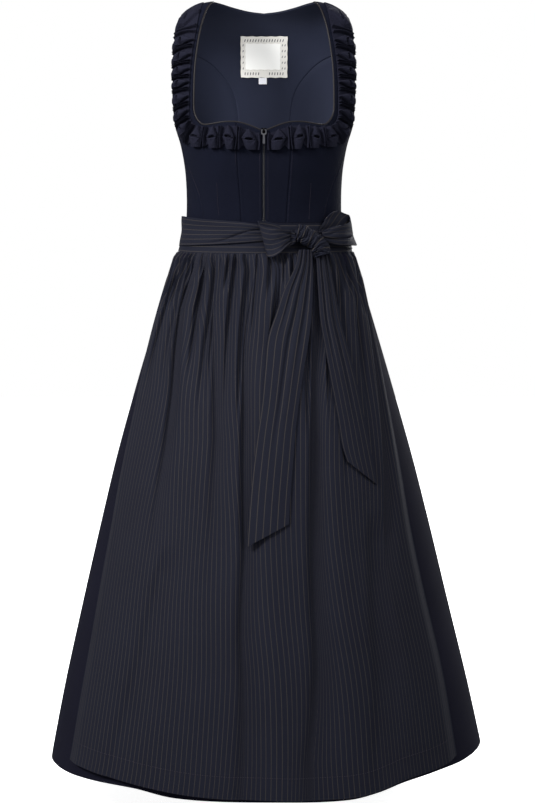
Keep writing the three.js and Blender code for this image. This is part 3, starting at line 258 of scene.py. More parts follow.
def mix(start: Array, end: Array, share: Array) -> Array:
    """Straight blend of two values."""
    return start + (end - start) * share


def steps(count: int) -> Array:
    """Evenly spaced shares from 0 to 1."""
    return np.linspace(0, 1, count + 1)


def grid(rows: Array, columns: Array) -> tuple[Array, Array]:
    """Row and column values of every grid point."""
    return np.meshgrid(rows, columns, indexing="ij")


def directions(vectors: Array) -> Array:
    """Vectors of length 1."""
    return vectors / np.linalg.norm(vectors, axis=-1, keepdims=True)


class BodyForm:
    """The worn shape that every piece of cloth lies on."""

    def point(self, theta: Array, fall: Array) -> Array:
        """Points on the form in millimetres.

        Args:
            theta: Angle round the body in radians, from the front towards +X.
            fall: Square root of the drop.

        Returns:
            An array with x, y and z last.
        """
        theta, fall = np.broadcast_arrays(np.asarray(theta, float), np.asarray(fall, float))
        drop = fall * fall
        front = np.cos(theta) >= 0
        width = FORM.smooth(fall, "width")
        depth = np.where(front, FORM.smooth(fall, "front"), FORM.smooth(fall, "back"))
        square = FORM.smooth(fall, "square")
        share = np.minimum(np.abs(np.sin(theta)), 1)
        rounded = np.maximum(1 - share ** square, 0) ** (1 / square)
        x = width * np.sin(theta)
        cup = 5 * np.exp(-((np.abs(x) - 64) / 40) ** 2 - ((drop - 224) / 44) ** 2)
        y = np.where(front, -(depth + cup), depth) * rounded
        slope = -0.0078 * np.maximum(np.abs(x) - 80, 0) ** 2 * (1 - ease(drop, 20, 200))
        return np.stack([x + FORM.smooth(fall, "lean"), y, 1.6 - drop + slope], axis=-1)

    def normal(self, theta: Array, drop: Array) -> Array:
        """Outward unit normals of the form."""
        fall = np.sqrt(np.maximum(drop, 0))
        down = self.point(theta, fall + STEP) - self.point(theta, np.maximum(fall - STEP, 0))
        ahead = self.point(theta + STEP, fall) - self.point(theta - STEP, fall)
        return directions(np.cross(down, ahead))

    def at(self, theta: Array, drop: Array, out: Array = 0.0) -> Array:
        """Points that stand off the form along its normal."""
        theta, drop = np.broadcast_arrays(np.asarray(theta, float), np.asarray(drop, float))
        lifted = np.broadcast_to(np.asarray(out, float), theta.shape)[..., None]
        fall = np.sqrt(np.maximum(drop, 0))
        return self.point(theta, fall) + lifted * self.normal(theta, drop)

    def theta_at(self, x: Array, drop: Array) -> Array:
        """Angle of a given x on the form's front."""
        fall = np.sqrt(np.maximum(drop, 0))
        share = (x - FORM.smooth(fall, "lean")) / FORM.smooth(fall, "width")
        return np.arcsin(np.clip(share, -1, 1))

    def theta_for(self, x: Array, drop: Array, out: Array) -> Array:
        """Angle at which a point that stands off the front has the given x."""
        theta = self.theta_at(x, drop)
        for _ in range(6):
            shift = self.at(theta, drop, out)[..., 0] - self.at(theta, drop)[..., 0]
            theta = self.theta_at(x - shift, drop)
        return theta

    def sidestep(self, spot: Spot, distance: float) -> Spot:
        """Moves spots round the form by a distance in millimetres."""
        theta, drop = spot
        size = np.linalg.norm(self.at(theta + STEP, drop) - self.at(theta, drop), axis=-1)
        return theta + distance * STEP / size, drop

    def seam(self, seam: Table, part: Array) -> Spot:
        """Spots on a seam, part 0 at the waist and 1 at its top."""
        drop = seam.smooth(part, "drop")
        if "x" in seam.columns:
            return self.theta_at(seam.smooth(part, "x"), drop), drop
        return np.radians(seam.smooth(part, "angle")), drop


BODY = BodyForm()


def between(start: Spot, end: Spot, share: Array) -> Spot:
    """Spots part of the way from one to another."""
    fall = mix(np.sqrt(start[1]), np.sqrt(end[1]), share)
    return mix(start[0], end[0], share), fall * fall


def lengths(points: Array, axis: int) -> Array:
    """Distance travelled along one axis of a grid of points, from 0."""
    size = np.linalg.norm(np.diff(points, axis=axis), axis=-1)
    start = np.zeros_like(np.take(size, [0], axis=axis))
    return np.concatenate([start, np.cumsum(size, axis=axis)], axis=axis)


def flat_uv(points: Array) -> Array:
    """Cloth coordinates of a grid in millimetres, the one along its rows first."""
    return np.stack([lengths(points, 1), lengths(points, 0)], axis=-1)


@dataclass
class ClothMesh:
    """A wall of cloth on a grid whose rows run down and whose columns run towards +X at the front.

    keep says which cells exist. Where inside is a hem, margin is how many cells wide it is at the edges.
    """

    outer: Array
    inner: Array
    uv: Array
    inside: Inside = Inside.WHOLE
    keep: Array | None = None
    margin: int = 3

    def quads(self) -> Array:
        """Corner numbers of all faces: outer ones, inner ones and the rims between them."""
        rows, columns = self.outer.shape[0] - 1, self.outer.shape[1] - 1
        kept = np.ones((rows, columns), bool) if self.keep is None else self.keep
        count = self.outer.shape[0] * self.outer.shape[1]
        face = np.arange(count).reshape(rows + 1, columns + 1)
        back = face + count
        turned = kept.copy()
        if self.inside is Inside.HEM:
            edge = self.margin
            turned[edge:-edge, edge:-edge] = False
        parts = []
        for number, mask, flip in ((face, kept, False), (back, turned, True)):
            corners = [number[:-1, :-1], number[1:, :-1], number[1:, 1:], number[:-1, 1:]]
            ring = np.stack([corner[mask] for corner in corners], axis=-1)
            parts.append(ring[:, ::-1] if flip else ring)
        padded = np.pad(kept, 1)
        bare = {
            "left": kept & ~padded[1:-1, :-2], "right": kept & ~padded[1:-1, 2:],
            "top": kept & ~padded[:-2, 1:-1], "bottom": kept & ~padded[2:, 1:-1],
        }
        ends = {
            "left": ((0, 0), (1, 0)), "bottom": ((1, 0), (1, 1)),
            "right": ((1, 1), (0, 1)), "top": ((0, 1), (0, 0)),
        }
        for side, mask in bare.items():
            i, j = np.nonzero(mask)
            (i0, j0), (i1, j1) = ends[side]
            parts.append(np.stack([
                face[i + i1, j + j1], face[i + i0, j + j0], back[i + i0, j + j0], back[i + i1, j + j1],
            ], axis=-1))
        return np.concatenate(parts)

    def build(self, name: str, finish: "Finish") -> bpy.types.Object:
        """Makes the object.

        Args:
            name: Name of the piece.
            finish: What it is made of.

        Returns:
            The piece.
        """
        points = np.concatenate([self.outer.reshape(-1, 3), self.inner.reshape(-1, 3)])
        uv = np.concatenate([self.uv.reshape(-1, 2)] * 2)
        return mesh_object(name, points, self.quads(), uv, finish)


def add_object(name: str, data: bpy.types.ID) -> bpy.types.Object:
    """A new object in the scene."""
    made = bpy.data.objects.new(name, data)
    bpy.context.scene.collection.objects.link(made)
    return made


def mesh_object(name: str, points: Array, faces: Array, uv: Array, finish: "Finish") -> bpy.types.Object:
    """Makes a smooth mesh object from points and coordinates in millimetres.

    Args:
        name: Name of the piece.
        points: Points, one row each.
        faces: Corner numbers, one row a face.
        uv: Cloth coordinates of the points.
        finish: What it is made of.

    Returns:
        The piece.
    """
    used, numbers = np.unique(faces, return_inverse=True)
    faces = numbers.reshape(faces.shape)
    points, uv = points[used] * MM, uv[used] * MM
    size = faces.shape[1]
    mesh = bpy.data.meshes.new(name)
    mesh.vertices.add(len(points))
    mesh.vertices.foreach_set("co", points.astype(np.float32).ravel())
    mesh.loops.add(faces.size)
    mesh.loops.foreach_set("vertex_index", faces.astype(np.int32).ravel())
    mesh.polygons.add(len(faces))
    mesh.polygons.foreach_set("loop_start", np.arange(0, faces.size, size, dtype=np.int32))
    mesh.polygons.foreach_set("use_smooth", np.ones(len(faces), bool))
    layer = mesh.uv_layers.new(name="cloth")
    layer.data.foreach_set("uv", uv[faces.ravel()].astype(np.float32).ravel())
    mesh.update(calc_edges=True)
    mesh.validate()
    mesh.set_sharp_from_angle(angle=math.radians(62))
    mesh.materials.append(finish.material())
    return add_object(name, mesh)


def mirrored(piece: bpy.types.Object, name: str) -> bpy.types.Object:
    """A copy of a piece for the other side of the body."""
    mesh = piece.data.copy()
    count = len(mesh.vertices)
    points = np.empty(count * 3, np.float32)
    mesh.vertices.foreach_get("co", points)
    points[0::3] *= -1
    mesh.vertices.foreach_set("co", points)
    mesh.flip_normals()
    mesh.update()
    return add_object(name, mesh)


def tube(points: Array, leans: Array, radii: Array, sides: int, flat: float = 1.0,
         tangents: Array | None = None) -> Array:
    """Rings of points round a line.

    Args:
        points: Line in millimetres.
        leans: A direction for each point that its ring keeps as up.
        radii: Radius at each point, or at each point and side.
        sides: Points in a ring.
        flat: Height of a ring over its width.
        tangents: Direction of the line at each point, where the points don't give it.

    Returns:
        Grid of points, a row for each ring, with the first side repeated at the end.
    """
    tangent = directions(np.gradient(points, axis=0) if tangents is None else tangents)
    side = directions(np.cross(tangent, leans))
    up = np.cross(side, tangent)
    turn = np.linspace(0, 2 * math.pi, sides + 1)
    reach = np.broadcast_to(np.asarray(radii, float).reshape(len(points), -1), (len(points), sides + 1))
    sideways = (reach * np.cos(turn))[..., None] * side[:, None]
    upward = (reach * flat * np.sin(turn))[..., None] * up[:, None]
    return points[:, None] + sideways + upward


def skin(rings: Array) -> Array:
    """Faces between rings whose last side repeats the first, with numbers into the flattened grid."""
    rows, columns = rings.shape[0], rings.shape[1]
    number = np.arange(rows * columns).reshape(rows, columns)
    number[:, -1] = number[:, 0]
    corners = [number[:-1, :-1], number[1:, :-1], number[1:, 1:], number[:-1, 1:]]
    return np.stack(corners, axis=-1).reshape(-1, 4)


def tubes_object(name: str, tubes: Sequence[Array], finish: "Finish") -> bpy.types.Object:
    """One object from several tubes that taper shut at their ends."""
    points, faces, uvs, start = [], [], [], 0
    for rings in tubes:
        points.append(rings.reshape(-1, 3))
        faces.append(skin(rings)[:, ::-1] + start)
        uvs.append(flat_uv(rings).reshape(-1, 2))
        start += rings.shape[0] * rings.shape[1]
    return mesh_object(name, np.concatenate(points), np.concatenate(faces), np.concatenate(uvs), finish)


def panel(theta: Array, drop: Array, out: Array, wall: float) -> tuple[Array, Array]:
    """Outer and inner points of cloth that lies on the form."""
    normal = BODY.normal(theta, drop)
    base = BODY.point(theta, np.sqrt(np.maximum(drop, 0)))
    lifted = np.broadcast_to(np.asarray(out, float), theta.shape)[..., None]
    return base + lifted * normal, base + (lifted - wall) * normal


def linear(colour: str) -> tuple[float, float, float, float]:
    """Linear colour of an sRGB hex value."""
    shares = [int(colour[i:i + 2], 16) / 255 for i in (0, 2, 4)]
    light = [c / 12.92 if c <= 0.04045 else ((c + 0.055) / 1.055) ** 2.4 for c in shares]
    return (*light, 1.0)


def add_node(tree: bpy.types.NodeTree, kind: str, settings: dict | None = None, links: dict | None = None,
             ) -> bpy.types.Node:
    """Adds a node with its settings and links.

    Args:
        tree: Node tree of a material or world.
        kind: Node type without the leading ShaderNode.
        settings: Attributes by name, and constants of input sockets by socket name or number.
        links: Output sockets by the input socket that they feed.

    Returns:
        The node.
    """
    node = tree.nodes.new("ShaderNode" + kind)
    for key, value in (settings or {}).items():
        if isinstance(key, str) and hasattr(node, key):
            setattr(node, key, value)
        else:
            node.inputs[key].default_value = value
    for key, output in (links or {}).items():
        tree.links.new(output, node.inputs[key])
    return node


def maths(tree: bpy.types.NodeTree, operation: str, *values: float | bpy.types.NodeSocket,
          ) -> bpy.types.NodeSocket:
    """Result of a maths node, whose inputs are numbers or other nodes' outputs."""
    node = add_node(tree, "Math", {"operation": operation})
    for slot, value in enumerate(values):
        if isinstance(value, bpy.types.NodeSocket):
            tree.links.new(value, node.inputs[slot])
        else:
            node.inputs[slot].default_value = value
    return node.outputs[0]


@dataclass(frozen=True)
class Finish:
    """Base of all finishes: a name and one material that is made once."""

    name: str

    def shade(self, tree: bpy.types.NodeTree, output: bpy.types.Node) -> None:
        """Fills the node tree; each finish has its own."""
        raise NotImplementedError

    def material(self) -> bpy.types.Material:
        """The material, made at its first use."""
        known = bpy.data.materials.get(self.name)
        if known:
            return known
        made = bpy.data.materials.new(self.name)
        made.use_nodes = True
        made.node_tree.nodes.clear()
        output = made.node_tree.nodes.new("ShaderNodeOutputMaterial")
        self.shade(made.node_tree, output)
        return made


@dataclass(frozen=True)
class Stripe:
    """Fine woven stripes; pitch and width in millimetres."""

    colour: str
    pitch: float
    width: float


@dataclass(frozen=True)
class Cloth(Finish):
    """Woven cloth: a dull surface with its weave as relief and slow changes of depth in its dye.

    thread is the spacing of the weave that is drawn, relief its height, both in millimetres.
    """

    colour: str = "1b1d27"
    worn: str = "262838"
    roughness: float = 0.9
    specular: float = 0.12
    sheen: float = 0.0
    weave: Weave = Weave.PLAIN
    thread: float = 1.0
    relief: float = 0.12
    stripe: Stripe | None = None

    def threads(self, tree: bpy.types.NodeTree, across: bpy.types.NodeSocket, down: bpy.types.NodeSocket,
                ) -> bpy.types.NodeSocket:
        """Height of the weave, from -1 to 1.

        Args:
            tree: Node tree.
            across: Cloth coordinate across the stripes, in metres.
            down: Cloth coordinate along the stripes, in metres.

        Returns:
            The height's socket.
        """
        turns = 2 * math.pi / (self.thread * MM)
        if self.weave is Weave.TWILL:
            slant = maths(tree, "ADD", across, down)
            return maths(tree, "SINE", maths(tree, "MULTIPLY", slant, turns))
        waves = []
        for axis in (across, down):
            pull = turns if self.weave is Weave.PLAIN or axis is across else turns / 6
            waves.append(maths(tree, "SINE", maths(tree, "MULTIPLY", axis, pull)))
        return maths(tree, "MULTIPLY", *waves)

    def shade(self, tree: bpy.types.NodeTree, output: bpy.types.Node) -> None:
        """Weave, dye and stripes."""
        place = add_node(tree, "UVMap", {"uv_map": "cloth"})
        parts = add_node(tree, "SeparateXYZ", links={0: place.outputs[0]})
        across, down = parts.outputs[0], parts.outputs[1]
        weave = self.threads(tree, across, down)
        slow = add_node(tree, "TexNoise", {"Scale": 9.0, "Detail": 3.0}, {"Vector": place.outputs[0]})
        fibre = add_node(tree, "TexNoise", {"Scale": 700.0, "Detail": 2.0}, {"Vector": place.outputs[0]})
        depth = maths(tree, "MULTIPLY_ADD", weave, 0.16, 0.0)
        for noise, share in ((slow, 0.55), (fibre, 0.4)):
            depth = maths(tree, "MULTIPLY_ADD", noise.outputs[0], share, depth)
        dye = add_node(
            tree, "Mix", {"data_type": "RGBA", 6: linear(self.colour), 7: linear(self.worn)}, {0: depth},
        )
        colour = dye.outputs[2]
        if self.stripe:
            colour = self.striped(tree, across, fibre.outputs[0], colour)
        height = maths(tree, "MULTIPLY_ADD", fibre.outputs[0], 1.5, weave)
        bump = add_node(tree, "Bump", {"Strength": 0.6, "Distance": self.relief * MM}, {"Height": height})
        shader = add_node(tree, "BsdfPrincipled", {
            "Roughness": self.roughness, "IOR": 1.46, "Specular IOR Level": self.specular,
            "Sheen Weight": self.sheen, "Sheen Roughness": 0.45, "Sheen Tint": linear(self.worn),
        }, {"Base Color": colour, "Normal": bump.outputs[0]})
        tree.links.new(shader.outputs[0], output.inputs[0])

    def striped(self, tree: bpy.types.NodeTree, across: bpy.types.NodeSocket, fibre: bpy.types.NodeSocket,
                ground: bpy.types.NodeSocket) -> bpy.types.NodeSocket:
        """Lays the stripes over the ground colour, slightly broken where threads cross over them."""
        rate = 1 / (self.stripe.pitch * MM)
        share = maths(tree, "FRACT", maths(tree, "MULTIPLY", across, rate))
        far = maths(tree, "ABSOLUTE", maths(tree, "SUBTRACT", share, 0.5))
        half = self.stripe.width / self.stripe.pitch / 2
        line = add_node(tree, "MapRange", {
            "interpolation_type": "SMOOTHSTEP", 1: half * 0.6, 2: half * 1.4, 3: 0.9, 4: 0.0,
        }, {0: far})
        broken = add_node(tree, "MapRange", {1: 0.25, 2: 0.6, 3: 0.75, 4: 1.0}, {0: fibre})
        seen = maths(tree, "MULTIPLY", line.outputs[0], broken.outputs[0])
        laid = add_node(
            tree, "Mix", {"data_type": "RGBA", 7: linear(self.stripe.colour)}, {0: seen, 6: ground},
        )
        return laid.outputs[2]


@dataclass(frozen=True)
class Metal(Finish):
    """Plated die-cast zinc: a mirror dulled by fine tumbling marks."""

    colour: str = "8c8c92"
    roughness: float = 0.3

    def shade(self, tree: bpy.types.NodeTree, output: bpy.types.Node) -> None:
        """Plating with uneven gloss."""
        place = add_node(tree, "TexCoord")
        grain = add_node(
            tree, "TexNoise", {"Scale": 900.0, "Detail": 4.0}, {"Vector": place.outputs["Object"]},
        )
        gloss = add_node(
            tree, "MapRange", {3: self.roughness - 0.08, 4: self.roughness + 0.14}, {0: grain.outputs[0]},
        )
        bump = add_node(tree, "Bump", {"Strength": 0.25, "Distance": 0.05 * MM}, {"Height": grain.outputs[0]})
        shader = add_node(
            tree, "BsdfPrincipled", {"Base Color": linear(self.colour), "Metallic": 1.0},
            {"Roughness": gloss.outputs[0], "Normal": bump.outputs[0]},
        )
        tree.links.new(shader.outputs[0], output.inputs[0])


@dataclass(frozen=True)
class Plain(Finish):
    """Thread, nylon or paint: one material with a little mottling."""

    colour: str = "15151b"
    other: str = "1f1f27"
    roughness: float = 0.5
    specular: float = 0.4

    def shade(self, tree: bpy.types.NodeTree, output: bpy.types.Node) -> None:
        """Two close colours that run into each other."""
        place = add_node(tree, "TexCoord")
        grain = add_node(
            tree, "TexNoise", {"Scale": 600.0, "Detail": 2.0}, {"Vector": place.outputs["Object"]},
        )
        dye = add_node(
            tree, "Mix", {"data_type": "RGBA", 6: linear(self.colour), 7: linear(self.other)},
            {0: grain.outputs[0]},
        )
        shader = add_node(tree, "BsdfPrincipled", {
            "Roughness": self.roughness, "IOR": 1.5, "Specular IOR Level": self.specular,
        }, {"Base Color": dye.outputs[2]})
        tree.links.new(shader.outputs[0], output.inputs[0])


# Napped wool twill: fine slanting lines and a soft, deep navy. Its real lines are 0.6 mm apart and are
# drawn at 1.3 mm, so that they show. The ruffle is of the same wool; the bodice's copy is made darker than
# the ruffle's as painted shade.
WOOL_WITH_PAINTED_SHADE = Cloth("napped_wool_twill_painted_shade", "0c0d15", "121523", 0.92, 0.05, 0.02, Weave.TWILL, 1.3, 0.22)
RUFFLE_WOOL = Cloth("ruched_wool_twill", "13131c", "1f202d", 0.92, 0.06, 0.03, Weave.TWILL, 1.3, 0.2)
# Viscose lining: smooth and slightly lighter, with a weave too fine to see.
LINING = Cloth("viscose_lining", "191c28", "222636", 0.7, 0.08, 0.0, Weave.PLAIN, 0.9, 0.05)
# Skirt cloth of lighter wool: flatter than the bodice.
SKIRT_WOOL = Cloth("light_wool_twill", "0d0d15", "151522", 0.9, 0.05, 0.02, Weave.TWILL, 1.2, 0.15)
# Cotton and viscose pinstripe: a plain weave with a faint gloss; the stripes are single heavier threads.
PINSTRIPE = Stripe("34302e", 9.0, 1.0)
STRIPED = Cloth("pinstriped_cotton", "10111a", "181a25", 0.75, 0.09, 0.01, Weave.PLAIN, 1.1, 0.1, PINSTRIPE)
# Satin piping: long floats that catch the light.
PIPING = Cloth("satin_piping", "141112", "1f1b1b", 0.5, 0.22, 0.0, Weave.SATIN, 0.8, 0.06)
# Woven cotton label: chalky and matt.
LABEL = Cloth("woven_cotton_label", "cfccc6", "e0ded9", 0.9, 0.1, 0.0, Weave.PLAIN, 1.6, 0.2)
LABEL_FIELD = Cloth("label_satin_field", "ebeae7", "f1f1ee", 0.8, 0.1, 0.0, Weave.SATIN, 0.6, 0.03)
SIZE_TAPE = Cloth("satin_tape", "cfd0d6", "e2e3e7", 0.6, 0.3, 0.0, Weave.SATIN, 0.7, 0.04)
THREAD = Plain("polyester_thread", "26222a", "352f38", 0.6, 0.1)
HOLES = Plain("hemstitch_shadow", "2a2c38", "4a4b55", 0.9, 0.1)
COIL = Plain("nylon_coil", "0d0d11", "16161b", 0.4, 0.4)
SLIDER = Metal("black_nickel_plating", "101012", 0.4)
PULL = Metal("gunmetal_plating", "747479", 0.3)


@dataclass(frozen=True)
class Trough:
    """One valley between two folds.

    path holds its distance down and its place across as a share of the cloth; width is a share of the
    cloth too. depth, start and reach are in millimetres, the last two measured down from the gathering.
    """

    path: tuple[tuple[float, float], ...]
    width: float
    depth: float
    start: float
    reach: float

    def shape(self, across: Array, down: Array, flare: float) -> tuple[Array, Array]:
        """Share of its depth at each place, and how far the fold on its left leans over it.

        Args:
            across: Share of the way across the cloth.
            down: Distance below the gathering.
            flare: How much wider it grows in a metre.

        Returns:
            Both shares.
        """
        line = np.array(self.path)
        spread = self.width * (1 + flare * down / 1000)
        side = (across - np.interp(down, line[:, 0], line[:, 1])) / spread
        kept = 1 - ease(down - self.start, 0.45 * self.reach, 1.35 * self.reach)
        grown = ease(down, self.start - 30, self.start + 25) if self.start > 0 else 1
        rise = np.maximum(side, 0)
        rise = np.exp(-(rise / 1.25) ** 2.6)
        bed = np.where(side < 0, np.exp(-np.abs(side / 0.42) ** 2), rise)
        lip = np.exp(-((side + 0.8) / 0.7) ** 2)
        return bed * kept * grown, lip * kept * grown


@dataclass(frozen=True)
class Valleys:
    """Troughs between the folds of a gathered cloth."""

    troughs: tuple[Trough, ...]
    flare: float = 1.3

    def depth(self, across: Array, down: Array) -> Array:
        """How deep the cloth lies in its troughs in millimetres; where they meet, the deepest counts most."""
        depths = (trough.depth * trough.shape(across, down, self.flare)[0] for trough in self.troughs)
        return sum(depth ** 4 for depth in depths) ** 0.25

    def lean(self, across: Array, down: Array) -> Array:
        """How far its folds lean to the right over their troughs, as a share of the troughs' depth."""
        return sum(trough.depth * trough.shape(across, down, self.flare)[1] for trough in self.troughs)


def straight_trough(top: float, low: float, width: float, depth: float, reach: float, whole: float) -> Trough:
    """A trough from the gathering along a straight line towards the hem."""
    return Trough(((0, top), (whole, low)), width, depth, 0, reach)


def gathers(count: int, width: float, depth: tuple[float, float], reach: tuple[float, float], seed: int,
            drift: float, whole: float) -> tuple[Trough, ...]:
    """Uneven small troughs of a gathering.

    Args:
        count: How many.
        width: Usual width as a share of the cloth.
        depth: Least and most depth in millimetres.
        reach: Least and most length in millimetres.
        seed: Number that fixes the unevenness.
        drift: How far they wander sideways by the hem, as a share of the cloth.
        whole: Length of the cloth in millimetres.

    Returns:
        The troughs.
    """
    dice = np.random.default_rng(seed)
    made = []
    for k in range(count):
        top = (k + 0.5 + dice.uniform(-0.28, 0.28)) / count
        made.append(straight_trough(
            top, top + dice.uniform(-drift, drift), width * dice.uniform(0.75, 1.3), dice.uniform(*depth),
            dice.uniform(*reach) * dice.choice([0.6, 1.0, 1.7]), whole,
        ))
    return tuple(made)


def seam_dip(distance: Array) -> Array:
    """How cloth lies beside a pressed seam: a groove in the seam and a soft ridge next to it."""
    return -0.9 * np.exp(-(distance / 0.9) ** 2) + 0.35 * np.exp(-((distance - 3.2) / 1.8) ** 2)


def edge_distance(points: Array, side: int) -> Array:
    """Distance from one side edge of a grid along its rows: side 0 is the first column, 1 the last."""
    travelled = lengths(points, 1)
    return travelled if side == 0 else travelled[:, -1:] - travelled


def put(piece: bpy.types.Object, node: str, body: str = "dress") -> bpy.types.Object:
    """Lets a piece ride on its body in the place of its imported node."""
    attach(piece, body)
    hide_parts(node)
    return piece


def declare(outer: Array) -> None:
    """Works out the size that a piece of cloth was cut to; the result is not kept.

    Args:
        outer: Its outer grid, or the kept part of it, in millimetres.
    """
    width = float(lengths(outer, 1)[:, -1].mean()) * MM
    length = float(lengths(outer, 0)[-1].mean()) * MM
    down, ahead = np.diff(outer, axis=0)[:, :-1], np.diff(outer, axis=1)[:-1]
    area = float(np.linalg.norm(np.cross(down, ahead), axis=-1).sum()) * MM * MM
    length = max(length, area / width)


def lay_cloth(name: str, cloth: ClothMesh, finish: Finish) -> None:
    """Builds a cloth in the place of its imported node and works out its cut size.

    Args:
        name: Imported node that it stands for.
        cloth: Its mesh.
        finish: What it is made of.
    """
    piece = put(cloth.build(name + "_cloth", finish), name)
    declare(cloth.outer)
    log.info("%s: %d faces", name, len(piece.data.polygons))


def stitches(line: Array, leans: Array, length: float = 2.2, gap: float = 1.1,
             radius: float = 0.28) -> list[Array]:
    """Threads of a sewn line, each a short spindle.

    Args:
        line: Line on the cloth in millimetres.
        leans: Outward direction at each point.
        length: Length of a stitch.
        gap: Distance between stitches.
        radius: Half a thread's thickness.

    Returns:
        Rings of the spindles.
    """
    travelled = lengths(line[None], 1)[0]
    made = []
    for start in np.arange(gap, travelled[-1] - length, length + gap):
        at = start + length * np.array([0, 0.12, 0.5, 0.88, 1])
        spine = np.stack([np.interp(at, travelled, line[:, k]) for k in range(3)], axis=-1)
        lean = np.stack([np.interp(at, travelled, leans[:, k]) for k in range(3)], axis=-1)
        made.append(tube(spine, lean, radius * SPINDLE, 5))
    return made


@dataclass
class Bodice:
    """Front, side and back panels of wool twill, and the lining of the back."""

    wall: float = 1.6
    lining_wall: float = 1.0
    lining_out: float = -1.9
    seam_puckers: float = 0.22
    threads: list[Array] = field(default_factory=list)

    def soft_shape(self, theta: Array, drop: Array) -> Array:
        """Slow unevenness of the worn cloth, with the pull lines above the tie."""
        turn = np.degrees(theta)
        sides = np.exp(-((np.abs(turn) - 48) / 26) ** 2)
        pull = 0.7 * np.sin(turn / 7.5 + drop / 17) * ease(drop, 285, 345) * sides
        slow = 0.5 * np.sin(turn / 13 + 1.1) * np.sin(drop / 41)
        return pull + slow * ease(drop, 200, 240)

    def finished(self, theta: Array, drop: Array, wall: float, out: float, seams: tuple[bool, bool],
                 keep: Array | None = None, soft: bool = True) -> ClothMesh:
        """Adds seam grooves, puckers and soft shape to a panel, and gives its mesh.

        Args:
            theta: Angles of its grid.
            drop: Drops of its grid.
            wall: Thickness of the cloth.
            out: Stand-off of its outer face.
            seams: Whether its first and last columns are seams.
            keep: Cells that exist.
            soft: Whether it has the soft shape; a lining has none, and its seams sink away from the wearer.

        Returns:
            The mesh to build.
        """
        base = BODY.at(theta, drop)
        if not soft:
            near = np.minimum(edge_distance(base, 0), edge_distance(base, 1))
            sunk = SEAM_RELIEF * np.exp(-(near / LINING_SEAM_WIDTH) ** 2)
            outer, inner = panel(theta, drop, out + sunk, wall)
            return ClothMesh(outer, inner, flat_uv(outer))
        travelled = lengths(base, 0)
        relief = np.zeros(theta.shape)
        for side, sewn in enumerate(seams):
            if sewn:
                near = edge_distance(base, side)
                relief += seam_dip(near)
                relief += self.seam_puckers * np.sin(travelled / 1.5) * np.exp(-near / 3.2) * (near > 0.8)
        relief += self.soft_shape(theta, drop)
        outer = panel(theta, drop, out + np.minimum(relief, SEAM_RELIEF), wall)[0]
        inner = panel(theta, drop, out, wall)[1]
        return ClothMesh(outer, inner, flat_uv(outer), keep=keep)

    def center_front(self) -> ClothMesh:
        """Panel beside the zip."""
        part, across = grid(steps(90)[::-1], steps(28))
        seam = BODY.sidestep(BODY.seam(PRINCESS_SEAM, part), SEAM_LAP)
        drop = mix(WAIST, NECK_EDGE.smooth(ZIP_HALF, "drop"), part)
        edge = (BODY.theta_at(ZIP_HALF, drop), drop)
        theta, drop = between(edge, seam, across)
        top_x = mix(ZIP_HALF, PRINCESS_SEAM.columns["x"][-1], across[0])
        lift = NECK_EDGE.smooth(top_x, "drop") - drop[0]
        return self.finished(theta, drop + lift * part ** 5, self.wall, 0, (True, True))

    def strap(self, row: Array) -> tuple[Spot, Spot]:
        """Inner and outer edge of the strap, row 0 at the shoulder and 1 at the neck corner."""
        inner = mix(SHOULDER_FALL, math.sqrt(STRAP_INNER.key[-1]), row) ** 2
        outer = mix(SHOULDER_FALL, math.sqrt(ARMHOLE_FRONT.key[-1]), row) ** 2
        inner_spot = (BODY.theta_at(STRAP_INNER.smooth(inner, "x"), inner), inner)
        return inner_spot, (np.radians(ARMHOLE_FRONT.smooth(outer, "angle")), outer)

    def side_front(self) -> ClothMesh:
        """Panel from the princess seam to the side with its strap."""
        neck_columns, strap_columns, strap_rows, body_rows = 34, 22, 64, 84
        column = np.concatenate([steps(neck_columns) * 5, 5 + steps(strap_columns)[1:] * 3])
        row, place = grid(steps(strap_rows)[:-1], column)
        inner, outer = self.strap(row)
        strap = between(inner, outer, np.maximum(place - 5, 0) / 3)
        part, place = grid(steps(body_rows)[::-1], column)
        strap_inner, strap_outer = self.strap(np.ones_like(place))
        strap_top = between(strap_inner, strap_outer, np.maximum(place - 5, 0) / 3)
        x = mix(PRINCESS_SEAM.columns["x"][-1], NECK_CORNER, np.minimum(place / 5, 1))
        neck = NECK_EDGE.smooth(x, "drop")
        top = [np.where(place > 5, *pair) for pair in zip(strap_top, (BODY.theta_at(x, neck), neck))]
        start, span = top[0][:, :1], top[0][:, -1:] - top[0][:, :1]
        share = mix(place / 8, (top[0] - start) / span, part)
        seam_a = BODY.sidestep(BODY.seam(PRINCESS_SEAM, part), -SEAM_LAP)
        seam_b = BODY.sidestep(BODY.seam(SIDE_FRONT_SEAM, part), SEAM_LAP)
        theta, drop = between(seam_a, seam_b, share)
        chord = between((start, top[1][:, :1]), (top[0][:, -1:], top[1][:, -1:]), share)
        drop = drop + (top[1] - chord[1]) * part
        keep = np.ones((strap_rows + body_rows, neck_columns + strap_columns), bool)
        keep[:strap_rows, :neck_columns] = False
        theta, drop = np.concatenate([strap[0], theta]), np.concatenate([strap[1], drop])
        made = self.finished(theta, drop, self.wall, 0, (False, False), keep)
        body = slice(strap_rows, None)
        sewn = self.finished(theta[body], drop[body], self.wall, 0, (True, True))
        made.outer[body] = sewn.outer
        return made

